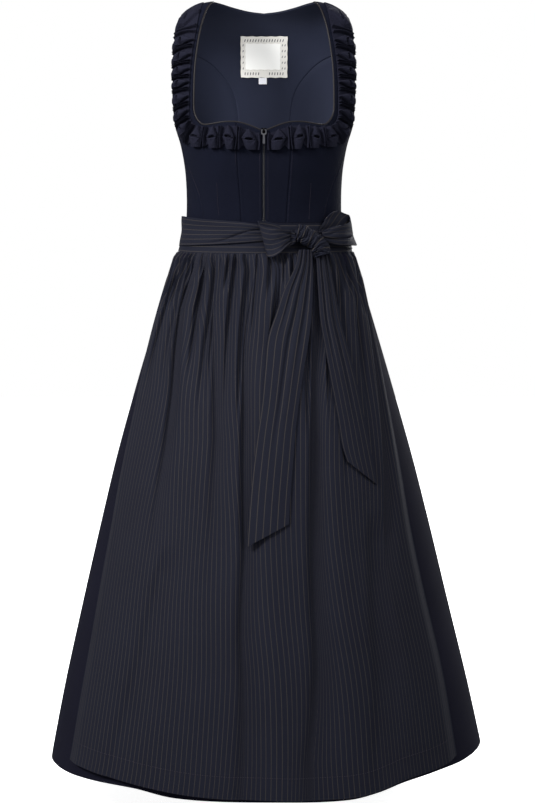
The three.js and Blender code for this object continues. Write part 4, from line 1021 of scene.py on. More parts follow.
    def side_back(self, wall: float, out: float) -> ClothMesh:
        """Panel from the side seam to the curved back seam."""
        part, across = grid(steps(84)[::-1], steps(46))
        start = BODY.sidestep(BODY.seam(SIDE_FRONT_SEAM, part), -SEAM_LAP)
        end = BODY.sidestep(BODY.seam(BACK_SEAM, part), SEAM_LAP)
        theta, drop = between(start, end, across)
        ones = np.ones_like(across)
        top = between(BODY.seam(SIDE_FRONT_SEAM, ones), BODY.seam(BACK_SEAM, ones), across)
        reach = part ** 2
        theta = theta + (np.radians(ARMHOLE_BACK.smooth(across, "angle")) - top[0]) * reach
        drop = drop + (ARMHOLE_BACK.smooth(across, "drop") - top[1]) * reach
        return self.finished(theta, drop, wall, out, (True, True), soft=wall == self.wall)

    def center_back(self, wall: float, out: float) -> ClothMesh:
        """Panel between the back seams, from the neck to the waist."""
        rows, half = 100, 52
        row = steps(rows) * 10
        across = np.abs(np.linspace(1, -1, 2 * half + 1))
        fall = mix(SHOULDER_FALL, math.sqrt(BACK_STRAP_OUTER.key[-1]), np.minimum(row / 3, 1))
        seam = BODY.sidestep(BODY.seam(BACK_SEAM, np.clip(1 - (row - 3) / 7, 0, 1)), -SEAM_LAP)
        strap = np.radians(BACK_STRAP_OUTER.smooth(fall ** 2, "angle"))
        edge = (np.where(row < 3, strap, seam[0]), np.where(row < 3, fall ** 2, seam[1]))
        x = SHOULDER_END * across
        highest = SHOULDER_FALL ** 2
        neck = np.maximum(BACK_NECK.smooth(x, "drop"), highest)
        neck = np.where(x < BACK_NECK.key[-1], neck, highest)
        top = (math.pi - BODY.theta_at(x, neck), neck)
        share = steps(rows)[:, None]
        middle = mix(math.sqrt(BACK_NECK.columns["drop"][0]), math.sqrt(WAIST), share)
        spot = between((math.pi, middle ** 2), (edge[0][:, None], edge[1][:, None]), across[None])
        chord = between((top[0][half], top[1][half]), (edge[0][0], edge[1][0]), across)
        reach = (1 - share) ** 2
        fall = np.sqrt(spot[1]) + (np.sqrt(top[1]) - np.sqrt(chord[1])) * reach
        theta = spot[0] + (top[0] - chord[0]) * reach
        theta[:, half + 1:] = 2 * math.pi - theta[:, half + 1:]
        return self.finished(theta, fall ** 2, wall, out, (True, True), soft=wall == self.wall)

    def sew(self, line: Callable[[Array], Spot], count: int, out: float = 0.15) -> None:
        """Adds a line of stitches on both sides of the body."""
        theta, drop = line(steps(count))
        for sign in (1, -1):
            points = BODY.at(sign * theta, drop, out + self.soft_shape(sign * theta, drop))
            self.threads += stitches(points, BODY.normal(sign * theta, drop))

    def build(self) -> None:
        """Makes the panels, their lining and the stitched lines."""
        pairs = [
            ("bodice_center_front", self.center_front(), WOOL_WITH_PAINTED_SHADE, "bodice_side_front_{}"),
            ("bodice_side_front", self.side_front(), WOOL_WITH_PAINTED_SHADE, "bodice_side_back_{}"),
            ("bodice_side_back", self.side_back(self.wall, 0), WOOL_WITH_PAINTED_SHADE, "bodice_center_back"),
            ("lining_side", self.side_back(self.lining_wall, self.lining_out), LINING, "bodice_side_back_{}"),
        ]
        for stem, cloth, finish, neighbor in pairs:
            right = cloth.build(stem + "_right_cloth", finish)
            left = mirrored(right, stem + "_left_cloth")
            for side, piece in (("right", right), ("left", left)):
                put(piece, f"{stem}_{side}")
                declare(cloth.outer)
            log.info("%s: %d faces a side", stem, len(right.data.polygons))
        for stem, wall, out, finish, neighbors in (
            ("bodice_center_back", self.wall, 0, WOOL_WITH_PAINTED_SHADE, ["bodice_side_back_right", "bodice_side_back_left"]),
            ("lining_center_back", self.lining_wall, self.lining_out, LINING, ["bodice_center_back"]),
        ):
            lay_cloth(stem, self.center_back(wall, out), finish)
        self.sew(lambda t: BODY.sidestep(BODY.seam(PRINCESS_SEAM, 0.02 + 0.74 * t), 2.6), 60)
        self.sew(lambda t: (BODY.theta_at(mix(72.5, 75.5, t), mix(352, 292, t)), mix(352, 292, t)), 40)
        self.sew(lambda t: BODY.sidestep(BODY.seam(SIDE_FRONT_SEAM, 0.02 + 0.6 * t), -2.6), 60)
        self.sew(lambda t: (BODY.theta_at(ZIP_HALF + 4.5, mix(246, 352, t)), mix(246, 352, t)), 40)
        thread = tubes_object("bodice_stitching", self.threads, THREAD)
        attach(thread, "dress")


@dataclass
class NecklineTrim:
    """Satin piping on the neckline and the frog-mouth ruffle beside it."""

    radius: float = 1.2
    units: int = 12
    clearance: float = 0.5

    def piping(self) -> Array:
        """Rings of the piping on the right-hand side."""
        x = mix(ZIP_HALF + self.radius, NECK_CORNER, steps(70))
        neck = NECK_EDGE.smooth(x, "drop")
        rise = ease(x, NECK_CORNER - 13, NECK_CORNER + 2)
        first = (BODY.theta_at(x, neck), neck, -0.6 * rise, 1 - 0.25 * rise)
        drop = mix(math.sqrt(193), math.sqrt(0.3), steps(90)) ** 2
        turned = ease(-drop, -192, -172)
        second = (
            BODY.theta_at(STRAP_INNER.smooth(drop, "x"), drop), drop,
            mix(-0.65, -1, turned), mix(0.75, 0, turned),
        )
        theta, drop, away_x, away_z = (np.concatenate(pair) for pair in zip(first, second))
        points = BODY.at(theta, drop, -0.8)
        offset = self.radius + 0.6
        points[:, 0] += away_x * offset
        points[:, 2] += away_z * offset
        for _ in range(3):
            points[1:-1] = (points[:-2] + 2 * points[1:-1] + points[2:]) / 4
        radii = np.full(len(points), self.radius)
        radii[[0, -1]] = 0.05
        return tube(points, BODY.normal(theta, drop), radii, 12)

    def stack(self, unit: Array, across: Array) -> tuple[Array, Array]:
        """The pressed folds at each whole number: thin ridges, pinched together in the middle.

        Args:
            unit: Place along the ruffle, one for each pleat.
            across: Place across it from -1 at the neckline to 1.

        Returns:
            Their height in millimetres, and how much of each place they take.
        """
        number = np.floor(unit + 0.5)
        side = unit - number - 0.03 * across * np.sin(number * 1.7)
        gap = 0.042 + 0.04 * across ** 2 + 0.008 * np.sin(number * 2.4)
        ridge = np.exp(-np.abs((np.abs(side) - gap) / 0.034) ** 3)
        outer = np.exp(-np.abs((np.abs(side) - gap - 0.085) / 0.03) ** 3) * across ** 2
        taken = 1 - ease(np.abs(side), gap + 0.03, gap + 0.07)
        return 0.6 + 7.4 * ridge + 4.0 * outer, taken

    def mouth(self, unit: Array, across: Array) -> Array:
        """The puff between two stacks: a diamond with a slit and creases that fan out from its corners.

        Args:
            unit: Place along the ruffle.
            across: Place across it from -1 to 1.

        Returns:
            Height in millimetres.
        """
        number = np.floor(unit)
        middle = 0.49 + 0.02 * np.sin(number * 1.9 + 0.3)
        local = unit - number - middle
        low = np.maximum(across, 0)
        half = np.where(across < 0, 0.36 * (1 - 0.86 * np.maximum(-across, 0)), 0.36 * (1 - 0.3 * low))
        share = (local + 0.1 * low) / half
        dome = np.maximum(1 - np.abs(share) ** 2.6, 0) ** 0.45
        slant = across - (1.1 * local + 0.04) * np.sin(number * 3.1 + 1) * 0.35
        along, down = (np.abs(local) - 0.31) * 27, slant * 19
        fan = 1 - 2 * np.abs(np.sin(2.5 * np.arctan2(down, -along))) ** 0.6
        fan = fan * np.exp(-(np.hypot(along, down) / 9.5) ** 2)
        lens = np.sqrt(np.maximum(1 - (local / 0.18) ** 2, 0))
        slit = np.exp(-np.abs(slant / (0.02 + 0.075 * lens)) ** 2.5) * ease(lens, 0.05, 0.4)
        lips = np.exp(-((np.abs(slant) - 0.2) / 0.1) ** 2) * lens
        roof = 1 - 0.3 * np.minimum(np.abs(slant), 1) ** 1.5 - 0.12 * share ** 2
        return 0.5 + 9.0 * dome * roof + (1.9 * fan + 0.9 * lips) * dome - 8.0 * slit * dome

    def height(self, unit: Array, across: Array) -> Array:
        """Height of the ruched pleats over their strip, lower along the edge of the strap."""
        stack, taken = self.stack(unit, across)
        height = np.maximum(stack * taken, self.mouth(unit, across) * (1 - 0.8 * taken)) + 0.5
        height = height * (1 - 0.66 * ease(across, 0.45, 1) * ease(unit, 3.2, 4.6))
        return height * (1 - 0.85 * ease(unit, self.units - 0.9, self.units - 0.1))

    def ruffle(self) -> ClothMesh:
        """The ruffle from the zip round the neck corner to the shoulder."""
        stack_half, mouth = 0.16, 0.68
        local = np.concatenate([
            steps(14)[:-1] * stack_half,
            stack_half + steps(34)[:-1] * mouth,
            stack_half + mouth + steps(14)[:-1] * stack_half,
        ])
        units = (np.arange(self.units)[:, None] + local[None]).ravel()
        across, unit = grid(steps(34), np.append(units, self.units))
        side = 2 * across - 1
        local = unit - np.floor(unit)
        notch = np.maximum(1 - np.abs(local - 0.75) / 0.19, 0) * (0.85 + 0.15 * np.sin(np.floor(unit) * 2.2))
        reach = 1 - np.where(side > 0, 0.46, 0.05) * notch * (1 - 0.7 * ease(unit, 3.2, 4.8))
        share = 0.5 + 0.5 * side * reach
        spots = []
        for edge in ("inner", "outer"):
            drop = RUFFLE_BAND.smooth(unit, edge + "Fall") ** 2
            spots.append((BODY.theta_at(RUFFLE_BAND.smooth(unit, edge + "X"), drop), drop))
        theta, drop = between(*spots, share)
        height = self.height(unit, side)
        closed = ease(unit, 0, 0.03) * ease(self.units - unit, 0, 0.03)
        outer = BODY.at(theta, drop, self.clearance + 0.6 + height * closed)
        inner = BODY.at(theta, drop, np.full(theta.shape, self.clearance))
        return ClothMesh(outer, inner, flat_uv(outer), Inside.HEM)

    def build(self) -> None:
        """Makes both sides."""
        rings = self.piping()
        right = tubes_object("neck_piping_right_cloth", [rings], PIPING)
        ruffle = self.ruffle()
        frill = ruffle.build("ruffle_right_cloth", RUFFLE_WOOL)
        for stem, piece in (("neck_piping", right), ("ruffle", frill)):
            put(piece, stem + "_right")
            put(mirrored(piece, stem + "_left_cloth"), stem + "_left")
        for side in ("right", "left"):
            declare(ruffle.outer)
        log.info("ruffle: %d faces a side", len(frill.data.polygons))


@dataclass
class Skirt:
    """Gathered wool skirt, front and back."""

    wall: float = 1.6
    out: float = 1.0
    rows: int = 120

    def levels(self) -> Array:
        """Shares of the way down, closer together at the gathering."""
        return steps(self.rows) ** 1.35

    def make(self, name: str, start: float, end: float, columns: int, troughs: Valleys) -> None:
        """Makes one half of the skirt.

        Args:
            name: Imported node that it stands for.
            start: First angle in degrees.
            end: Last angle in degrees.
            columns: Grid columns.
            troughs: Troughs between its folds.
        """
        down, across = grid(self.levels(), steps(columns))
        turn = mix(start, end, across)
        from_front = (turn + 180) % 360 - 180
        hem = SKIRT_HEM.smooth(from_front, "drop")
        drop = mix(WAIST + 0.3, hem, down)
        folds = np.zeros(turn.shape)
        grown = ease(drop, BAND_BOTTOM, LOWEST)
        for angle, width, height in SKIRT_BACK_FOLDS:
            folds += height * grown * np.exp(-(((turn % 360) - angle) / width) ** 2)
        depth = troughs.depth(across, np.maximum(drop - WAIST, 0))
        depth = 5.5 * np.tanh(depth / 5.5) * ease(np.minimum(across, 1 - across), 0, 0.03)
        covered = 1 - ease(np.abs(from_front), 50, 62)
        puffed = mix(9.4, 4.0, ease(drop, 412, 458)) * ease(drop, BAND_BOTTOM - 3, BAND_BOTTOM + 3)
        lift = mix(puffed - depth, 0, covered)
        outer, inner = panel(np.radians(turn), drop, self.out + folds + lift, self.wall)
        cloth = ClothMesh(outer, inner, flat_uv(outer), Inside.HEM, margin=4)
        lay_cloth(name, cloth, SKIRT_WOOL)

    def build(self) -> None:
        """Makes both halves."""
        whole = LOWEST - WAIST
        front = gathers(30, 0.008, (2, 4.5), (60, 200), 11, 0.01, whole)
        back = gathers(38, 0.007, (2.5, 5), (70, 220), 12, 0.015, whole)
        for angle, hem_angle in SKIRT_BACK_TROUGHS:
            back += (straight_trough((angle - 90) / 180, (hem_angle - 90) / 180, 0.02, 5.0, 800, whole),)
        side = 90 + SKIRT_SIDE_LAP
        self.make("skirt_front", -side, side, 300, Valleys(front))
        self.make("skirt_back", 180 - side, 180 + side, 336, Valleys(back))


@dataclass
class Apron:
    """Pinstriped apron, gathered under its band."""

    wall: float = 1.5
    out: float = 5.2
    spare: float = 9.0
    rows: int = 150
    columns: int = 520
    fine_troughs: tuple[Trough, ...] = gathers(34, 0.0085, (8.0, 14.0), (60, 150), 5, 0.02, 840)
    main_troughs: tuple[Trough, ...] = (
        Trough(((0, 0.125), (79, 0.097), (153, 0.088)), 0.014, 8.0, 0, 200),
        Trough(((0, 0.217), (87, 0.189), (212, 0.21), (313, 0.215), (420, 0.21)), 0.020, 11.0, 0, 400),
        Trough(((0, 0.264), (69, 0.268)), 0.012, 9.0, 0, 110),
        Trough(((0, 0.31), (75, 0.328), (137, 0.351), (288, 0.383), (400, 0.39)), 0.026, 8.5, 0, 420),
        Trough(((0, 0.44), (112, 0.447), (212, 0.453), (364, 0.466), (462, 0.473), (585, 0.462), (773, 0.47)),
               0.021, 12.0, 0, 900),
        Trough(((0, 0.476), (62, 0.462), (124, 0.452)), 0.012, 8.0, 0, 130),
        Trough(CENTER_FOLD, 0.016, 11.0, 0, 110),
        Trough(((0, 0.686), (87, 0.683), (187, 0.668), (364, 0.657), (585, 0.636), (773, 0.61)),
               0.023, 12.0, 0, 900),
        Trough(((0, 0.724), (128, 0.719), (246, 0.715)), 0.015, 8.0, 0, 240),
        Trough(((0, 0.788), (112, 0.77), (196, 0.765), (330, 0.762)), 0.018, 9.5, 0, 300),
        Trough(((0, 0.85), (62, 0.86), (180, 0.85)), 0.014, 8.0, 0, 170),
        Trough(((0, 0.905), (75, 0.93), (162, 0.925), (263, 0.915), (364, 0.898), (500, 0.86)),
               0.019, 10.0, 0, 480),
        Trough(((430, 0.83), (600, 0.79), (780, 0.757)), 0.024, 5.5, 430, 420),
        Trough(((480, 0.255), (620, 0.215), (800, 0.165)), 0.024, 5.0, 480, 420),
    )

    def gathered(self) -> tuple[Trough, ...]:
        """The main troughs that start at the gathering."""
        return tuple(trough for trough in self.main_troughs if not trough.start)

    def swell(self, across: Array, down: Array) -> Array:
        """Height of its folds over the skirt: low at the band and flat along its side edges."""
        body = mix(10.0, 8.0, np.minimum(down / 800, 1)) + 0.5 * np.exp(-down / 90)
        sides = ease(across, 0.0, 0.05) * ease(1 - across, 0.0, 0.05)
        return body * mix(0.3, 1, ease(down, -6, 13)) * mix(0.18, 1, sides)

    def build(self) -> None:
        """Makes the panel and its hem stitching."""
        down, across = grid(steps(self.rows) ** 1.25, steps(self.columns))
        hem = APRON_HEM.smooth(across, "drop")
        drop = mix(BAND_BOTTOM + 0.3, hem, down)
        below = drop - BAND_BOTTOM
        fine, main = Valleys(self.fine_troughs, 2.2), Valleys(self.main_troughs)
        gathered = Valleys(self.gathered())
        fine_part = fine.depth(across, below) ** 3
        depth = (fine_part + main.depth(across, below) ** 3) ** (1 / 3)
        hidden = (fine_part + gathered.depth(across, below) ** 3) ** (1 / 3)
        swell = self.swell(across, below)
        slow = 0.9 * np.sin(9 * across + 1.3) * np.sin(below / 170 + 4 * across) * ease(below, 60, 300)
        room = swell - 0.5
        tilt = gathered.lean(across, below)
        lift = swell + slow * swell / 8 + 0.14 * tilt * swell / 10 - room * np.tanh(depth / 8)
        left, right = APRON_EDGE.smooth(drop, "left"), APRON_EDGE.smooth(drop, "right")
        span = np.radians(right - left) * FORM.smooth(np.sqrt(drop), "width")
        lean = np.minimum(0.6 * tilt, 5.0) * ease(below, 5, 30)
        theta = np.radians(mix(left, right, across)) + np.radians(right - left) * lean / span
        outer, inner = panel(theta, drop, self.out + lift, self.wall)
        cloth = ClothMesh(outer, inner, self.cloth_lines(outer, across, below, hidden), Inside.HEM)
        piece = put(cloth.build("apron_panel_cloth", STRIPED), "apron_panel")
        normal = BODY.normal(theta, drop)
        share = np.interp(APRON_HEM_DEPTH, lengths(outer[::-1], 0)[:, 200], np.arange(self.rows + 1))
        row = self.rows - int(round(share))
        threads = stitches(outer[row] + 0.1 * normal[row], normal[row], 2.6, 1.2, 0.3)
        stitched = tubes_object("apron_hem_stitching", threads, THREAD)
        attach(stitched, "dress")
        declare(outer)
        log.info("apron: %d faces", len(piece.data.polygons))

    def cloth_lines(self, outer: Array, across: Array, below: Array, depth: Array) -> Array:
        """Cloth coordinates: true to size on the folds, with the rest of the width tucked into the troughs.

        The cloth between two long troughs stays between them all the way down.

        Args:
            outer: Grid of the outer face.
            across: Share of the way across on the grid.
            below: Distance below the gathering on the grid.
            depth: Depth on the grid of the troughs that start at the gathering.

        Returns:
            An array with the two coordinates last.
        """
        travelled = lengths(outer, 1)
        weight = np.cumsum((depth ** 2 + 4.0) * np.gradient(across, axis=1), axis=1)
        lines = [np.array(trough.path) for trough in self.gathered() if trough.reach >= LONG_FOLD]
        lines.append(np.array(CENTER_FOLD))
        lines.sort(key=lambda line: line[0, 1])
        down = below.mean(axis=1)
        bounds = [np.interp(down, line[:, 0], line[:, 1]) for line in lines]
        bounds = np.array([np.zeros(len(down)), *bounds, np.ones(len(down))]).T
        arcs, weights = np.empty_like(bounds), np.empty_like(bounds)
        for row, places in enumerate(bounds):
            arcs[row] = np.interp(places, across[row], travelled[row])
            weights[row] = np.interp(places, across[row], weight[row])
        width = np.diff(arcs, axis=1).max(axis=0) + self.spare
        start = np.concatenate([[0], np.cumsum(width)])
        u = np.empty_like(travelled)
        for row, places in enumerate(bounds):
            zone = np.clip(np.searchsorted(places, across[row], side="right") - 1, 0, len(width) - 1)
            hidden = width - np.diff(arcs[row])
            share = (weight[row] - weights[row][zone]) / np.maximum(np.diff(weights[row]), 1e-6)[zone]
            u[row] = start[zone] + travelled[row] - arcs[row][zone] + hidden[zone] * np.clip(share, 0, 1)
        return np.stack([u, lengths(outer, 0)], axis=-1)


@dataclass
class Ties:
    """Waistband of the apron and the two ties that cross behind and come to the front."""

    wall: float = 1.8
    band_wall: float = 2.2

    def strip(self, name: str, table: Table, columns: int, wall: float,
              relief: Callable[[Array, Array], Array]) -> None:
        """Makes one band.

        Args:
            name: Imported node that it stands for.
            table: Its edges and layer at each angle.
            columns: Grid columns.
            wall: Thickness.
            relief: Height of its creases by angle and share of the way down.
        """
        down, angle = grid(steps(34), mix(table.key[0], table.key[-1], steps(columns)))
        drop = mix(table.smooth(angle, "top"), table.smooth(angle, "bottom"), down)
        out = table.straight(angle, "out") + relief(angle, down)
        outer, inner = panel(np.radians(angle), drop, out, wall)
        uv = np.stack([down * TIE_CUT_WIDTH, lengths(outer, 1)], axis=-1)
        lay_cloth(name, ClothMesh(outer, inner, uv), STRIPED)

    def build(self) -> None:
        """Makes the waistband and both ties."""
        band = Table("angle top bottom out", [(-97, 357, 407, 6), (0, 357, 407, 6), (97, 357, 407, 6)])
        self.strip("apron_waistband", band, 220, self.band_wall, self.band_creases)
        self.strip("apron_tie_right", TIE_RIGHT, 330, self.wall, self.right_creases)
        self.strip("apron_tie_left", TIE_LEFT, 280, self.wall, self.left_creases)

    def band_creases(self, angle: Array, down: Array) -> Array:
        """Edge seam of the band, the gathers that push at its lower half and its flared lower corners."""
        seam = -0.6 * np.exp(-((down - 0.06) / 0.03) ** 2)
        pushed = 0.25 * np.sin(angle / 3.1) * ease(down, 0.5, 1)
        return seam + pushed + 2.0 * ease(np.abs(angle), 66, 88) * ease(down, 0.6, 0.85)

    def right_creases(self, angle: Array, down: Array) -> Array:
        """Creases of the tie that comes round the viewer's left."""
        near = ease(angle, 310, 375)
        fold = mix(0.92, 0.3, ease(angle, 322, 362))
        deep = -2.6 * np.exp(-np.abs((down - fold) / 0.045) ** 1.4) * ease(angle, 315, 335)
        fine = 0.7 * near * np.sin(down * 17 + angle / 30)
        cross = 0.5 * np.sin(down * 9 + 1.4 * np.sin(angle / 21)) * ease(angle, 110, 150) * (1 - near)
        slack = 0.5 * np.sin(down * 5 + angle / 11)
        return 0.6 + deep + fine + cross + slack * 0.6

    def left_creases(self, angle: Array, down: Array) -> Array:
        """Creases of the tie that comes round the viewer's right."""
        near = 1 - ease(angle, 36, 70)
        fine = 0.8 * near * np.sin(down * 19 + angle / 9)
        slack = 0.5 * np.sin(down * 6 + angle / 13 + 1)
        cross = 0.5 * np.sin(down * 10 + 1.1 * np.sin(angle / 17)) * ease(angle, 100, 130)
        return 0.4 + fine + slack + cross


@dataclass
class Bow:
    """Two loops, the knot and the two hanging tails."""

    wall: float = 1.8
    knot_out: float = 20.0
    tail_out: float = 16.0

    def loop(self, name: str, table: Table, seed: float, tuck: float, turned: float) -> None:
        """Makes a loop that goes out in its back layer and comes back in its front layer.

        Args:
            name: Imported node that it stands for.
            table: Its stations.
            seed: Number that sets its creases apart from the other loop's.
            tuck: How deep the front layer is creased above its lower edge, in millimetres.
            turned: How far the stripes of the back layer are turned from its length, in degrees.
        """
        down, station = grid(steps(48), steps(150) * 10)
        drop = mix(table.smooth(station, "top"), table.smooth(station, "bottom"), down)
        near = np.maximum(1 - station / 3.4, 0) + np.maximum((station - 6.6) / 3.4, 0)
        front = ease(station, 5.2, 6.5)
        wave = 3.2 * down + 0.35 * np.sin(station * 0.9 + seed) + 0.12 * np.sin(station * 2.3 + down * 5)
        crease = np.abs(np.sin(math.pi * wave)) ** 0.7 - 0.6
        soft = 0.7 * np.sin(down * 7 + station * 0.8 + seed) * (1 - near)
        line = 0.66 + 0.09 * (station - 8.5) / 3
        fold = np.exp(-((down - line) / 0.035) ** 2) + 0.55 * ease(down, line, line + 0.05)
        out = table.smooth(station, "out") + 2.6 * crease * near ** 1.3 + soft - tuck * fold * front
        skew = 6.0 * (down - 0.15) * (1 - np.minimum(near, 1)) ** 1.5
        outer = BODY.at(np.radians(table.smooth(station, "angle") + skew), drop, out)
        normal = directions(np.cross(np.gradient(outer, axis=0), np.gradient(outer, axis=1)))
        inner = outer - self.wall * normal
        along = lengths(outer, 1)
        spin = np.radians(turned) * (1 - ease(station, 4.2, 5.4))
        u = down * TIE_CUT_WIDTH * np.cos(spin) + (along - along[:, 60:61]) * np.sin(spin)
        uv = np.stack([u, along], axis=-1)
        lay_cloth(name, ClothMesh(outer, inner, uv), STRIPED)

    def knot(self) -> None:
        """Makes the rolled knot with its wrapped creases and its two open ends."""
        inward = np.array([(0.55, 0.30), (0.42, 0.48), (0.3, 0.62), (0.16, 0.74)])
        body = steps(96)[1:-1]
        place = np.concatenate([inward[:, 0] * 0.22, [0.0], body, [1.0], 1 - inward[::-1, 0] * 0.22])
        shrink = np.concatenate([inward[:, 1], [0.9], np.ones(len(body)), [0.9], inward[::-1, 1]])
        station = place * 5
        x, drop = KNOT.smooth(station, "x"), KNOT.smooth(station, "drop")
        theta = BODY.theta_for(x, drop, self.knot_out)
        spine = BODY.at(theta, drop, self.knot_out)
        lean = BODY.normal(theta, drop)
        sides = 84
        turn = np.linspace(0, 2 * math.pi, sides + 1)[None]
        along = station[:, None]
        bend = 0.5 * np.sin(turn + 0.8) + 0.22 * np.sin(2 * turn + 1.3 * along)
        bend += 0.1 * np.sin(5 * turn - along)
        wrap = np.abs(np.sin(math.pi * (1.15 * along + bend + 0.15 * np.sin(2.1 * along)))) ** 0.55
        twist = 0.9 * np.sin(turn - 0.4) - 0.4 * np.sin(3 * turn + along)
        fine = np.abs(np.sin(math.pi * (2.9 * along - twist))) ** 0.6
        lengthwise = np.abs(np.sin(1.5 * turn + 0.9 * along + 0.8 * np.sin(2.3 * along))) ** 0.5
        relief = 3.6 * (wrap - 0.78) + 2.4 * (fine - 0.75) + 1.8 * (lengthwise - 0.75)
        whole = (shrink > 0.95)[:, None]
        radii = KNOT.smooth(station, "radius")[:, None] * shrink[:, None] + relief * whole
        tangent = np.gradient(BODY.at(theta[4:-4], drop[4:-4], self.knot_out), axis=0)
        tangent = np.concatenate([[tangent[0]] * 4, tangent, [tangent[-1]] * 4])
        rings = tube(spine, lean, radii, sides, 0.82, tangent)
        uv = np.stack([along * 9.0 + 3.0 * np.sin(turn), turn * 12.0 + 0 * along], axis=-1)
        faces = skin(rings)[:, ::-1]
        piece = mesh_object("bow_knot_cloth", rings.reshape(-1, 3), faces, uv.reshape(-1, 2), STRIPED)
        put(piece, "bow_knot")
        log.info("knot: %d faces", len(piece.data.polygons))

    def tail(self, name: str, table: Table, point: float, slant: int, troughs: Valleys) -> None:
        """Makes a hanging end with a slanted cut.

        Args:
            name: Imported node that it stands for.
            table: Its edges at each drop.
            point: How far its longer side reaches below the other.
            slant: 1 if the right side is the longer one, and -1 if the left is.
            troughs: Its creases.
        """
        low, across = grid(steps(150), steps(48))
        level = mix(table.key[0], table.key[-1], low)
        low_end = low ** 3
        drop = level + point * low_end * (across if slant > 0 else 1 - across)
        x = mix(table.smooth(level, "left"), table.smooth(level, "right"), across)
        belly = 1.6 * np.sin(math.pi * across)
        crease = troughs.depth(across, level - table.key[0])
        out = self.tail_out + table.smooth(level, "lift") + belly + 1.0 - 3.4 * np.tanh(crease / 3.4)
        theta = BODY.theta_for(x, drop, out)
        outer, inner = panel(theta, drop, out, self.wall)
        uv = np.stack([across * TIE_CUT_WIDTH + 3, lengths(outer, 0)], axis=-1)
        lay_cloth(name, ClothMesh(outer, inner, uv), STRIPED)

    def build(self) -> None:
        """Makes the whole bow."""
        self.knot()
        self.loop("bow_loop_left", LOOP_LEFT, 0.4, 0.0, 0)
        self.loop("bow_loop_right", LOOP_RIGHT, 2.3, 5.0, 28)
        self.tail("bow_tail_long", TAIL_LONG, 34, -1, Valleys((
            straight_trough(0.25, 0.3, 0.06, 3.5, 110, 421), straight_trough(0.55, 0.42, 0.07, 4.0, 260, 421),
            straight_trough(0.8, 0.75, 0.06, 3.0, 170, 421),
        )))
        self.tail("bow_tail_short", TAIL_SHORT, 40, 1, Valleys((
            straight_trough(0.3, 0.25, 0.07, 3.5, 150, 320), straight_trough(0.7, 0.6, 0.07, 3.5, 200, 320),
        )))


@dataclass
class Labels:
    """Woven label with a hemstitched border and the plain size tape under it."""

    half_width: float = 39.5
    top: float = 48.0
    bottom: float = 116.0
    out: float = -3.9
    wall: float = 0.8

    def sheet(self, name: str, left: float, right: float, top: float, bottom: float, finish: Finish,
              out: float) -> bpy.types.Object:
        """Makes one rectangle of woven tape, its inner face towards the viewer."""
        down, across = grid(steps(40), steps(50))
        wave = 0.35 * np.sin(across * 31) * (np.abs(down - 0.5) > 0.49)
        drop = mix(top, bottom, down) + wave
        x = mix(right, left, across) + 0.3 * np.sin(down * 27) * (np.abs(across - 0.5) > 0.49)
        theta = math.pi - BODY.theta_at(x, drop)
        outer, inner = panel(theta, drop, out, self.wall)
        piece = ClothMesh(outer, inner, flat_uv(outer)).build(name + "_cloth", finish)
        declare(outer)
        return piece

    def dash(self, x: float, drop: float, width: float, height: float, slant: float) -> Array:
        """Rings of one dark opening in the border, a flat slanted spindle on the label's face."""
        share = np.array([-0.5, -0.42, 0, 0.42, 0.5])
        xs, drops = x - slant * share * height, drop + share * height
        theta = math.pi - BODY.theta_at(xs, drops)
        spine = BODY.at(theta, drops, self.out - self.wall)
        return tube(spine, BODY.normal(theta, drops), width / 2 * SPINDLE, 8, 0.16)

    def build(self) -> None:
        """Makes the label, its border and the size tape."""
        edge = self.half_width
        put(self.sheet("neck_label", -edge, edge, self.top, self.bottom, LABEL, self.out), "neck_label")
        put(self.sheet("size_label", -9, 4.5, 116.4, 127, SIZE_TAPE, self.out), "size_label")
        field = self.sheet("label_field", -31.5, 27.5, self.top + 11.5, self.bottom - 13.5, LABEL_FIELD,
                           self.out - 0.25)
        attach(field, "dress")
        dashes = []
        for k in range(15):
            dashes.append(self.dash(-32.2 + k * 4.6, self.top + 6.5, 1.5, 5.0, 0.32))
        for k in (*range(6), *range(9, 15)):
            dashes.append(self.dash(-32.2 + k * 4.6, self.bottom - 6.5, 1.5, 5.0, 0.12))
        for k in range(5):
            for x in (-35.4, 31.0, 35.6):
                dashes.append(self.dash(x, self.top + 14.5 + k * 9.6, 1.3, 3.6, 0.3))
        for k in range(26):
            dashes.append(self.dash(-31 + k * 2.5, self.bottom - 12.2, 0.5, 0.7, 0))
        piece = tubes_object("label_hemstitch", dashes, HOLES)
        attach(piece, "dress")


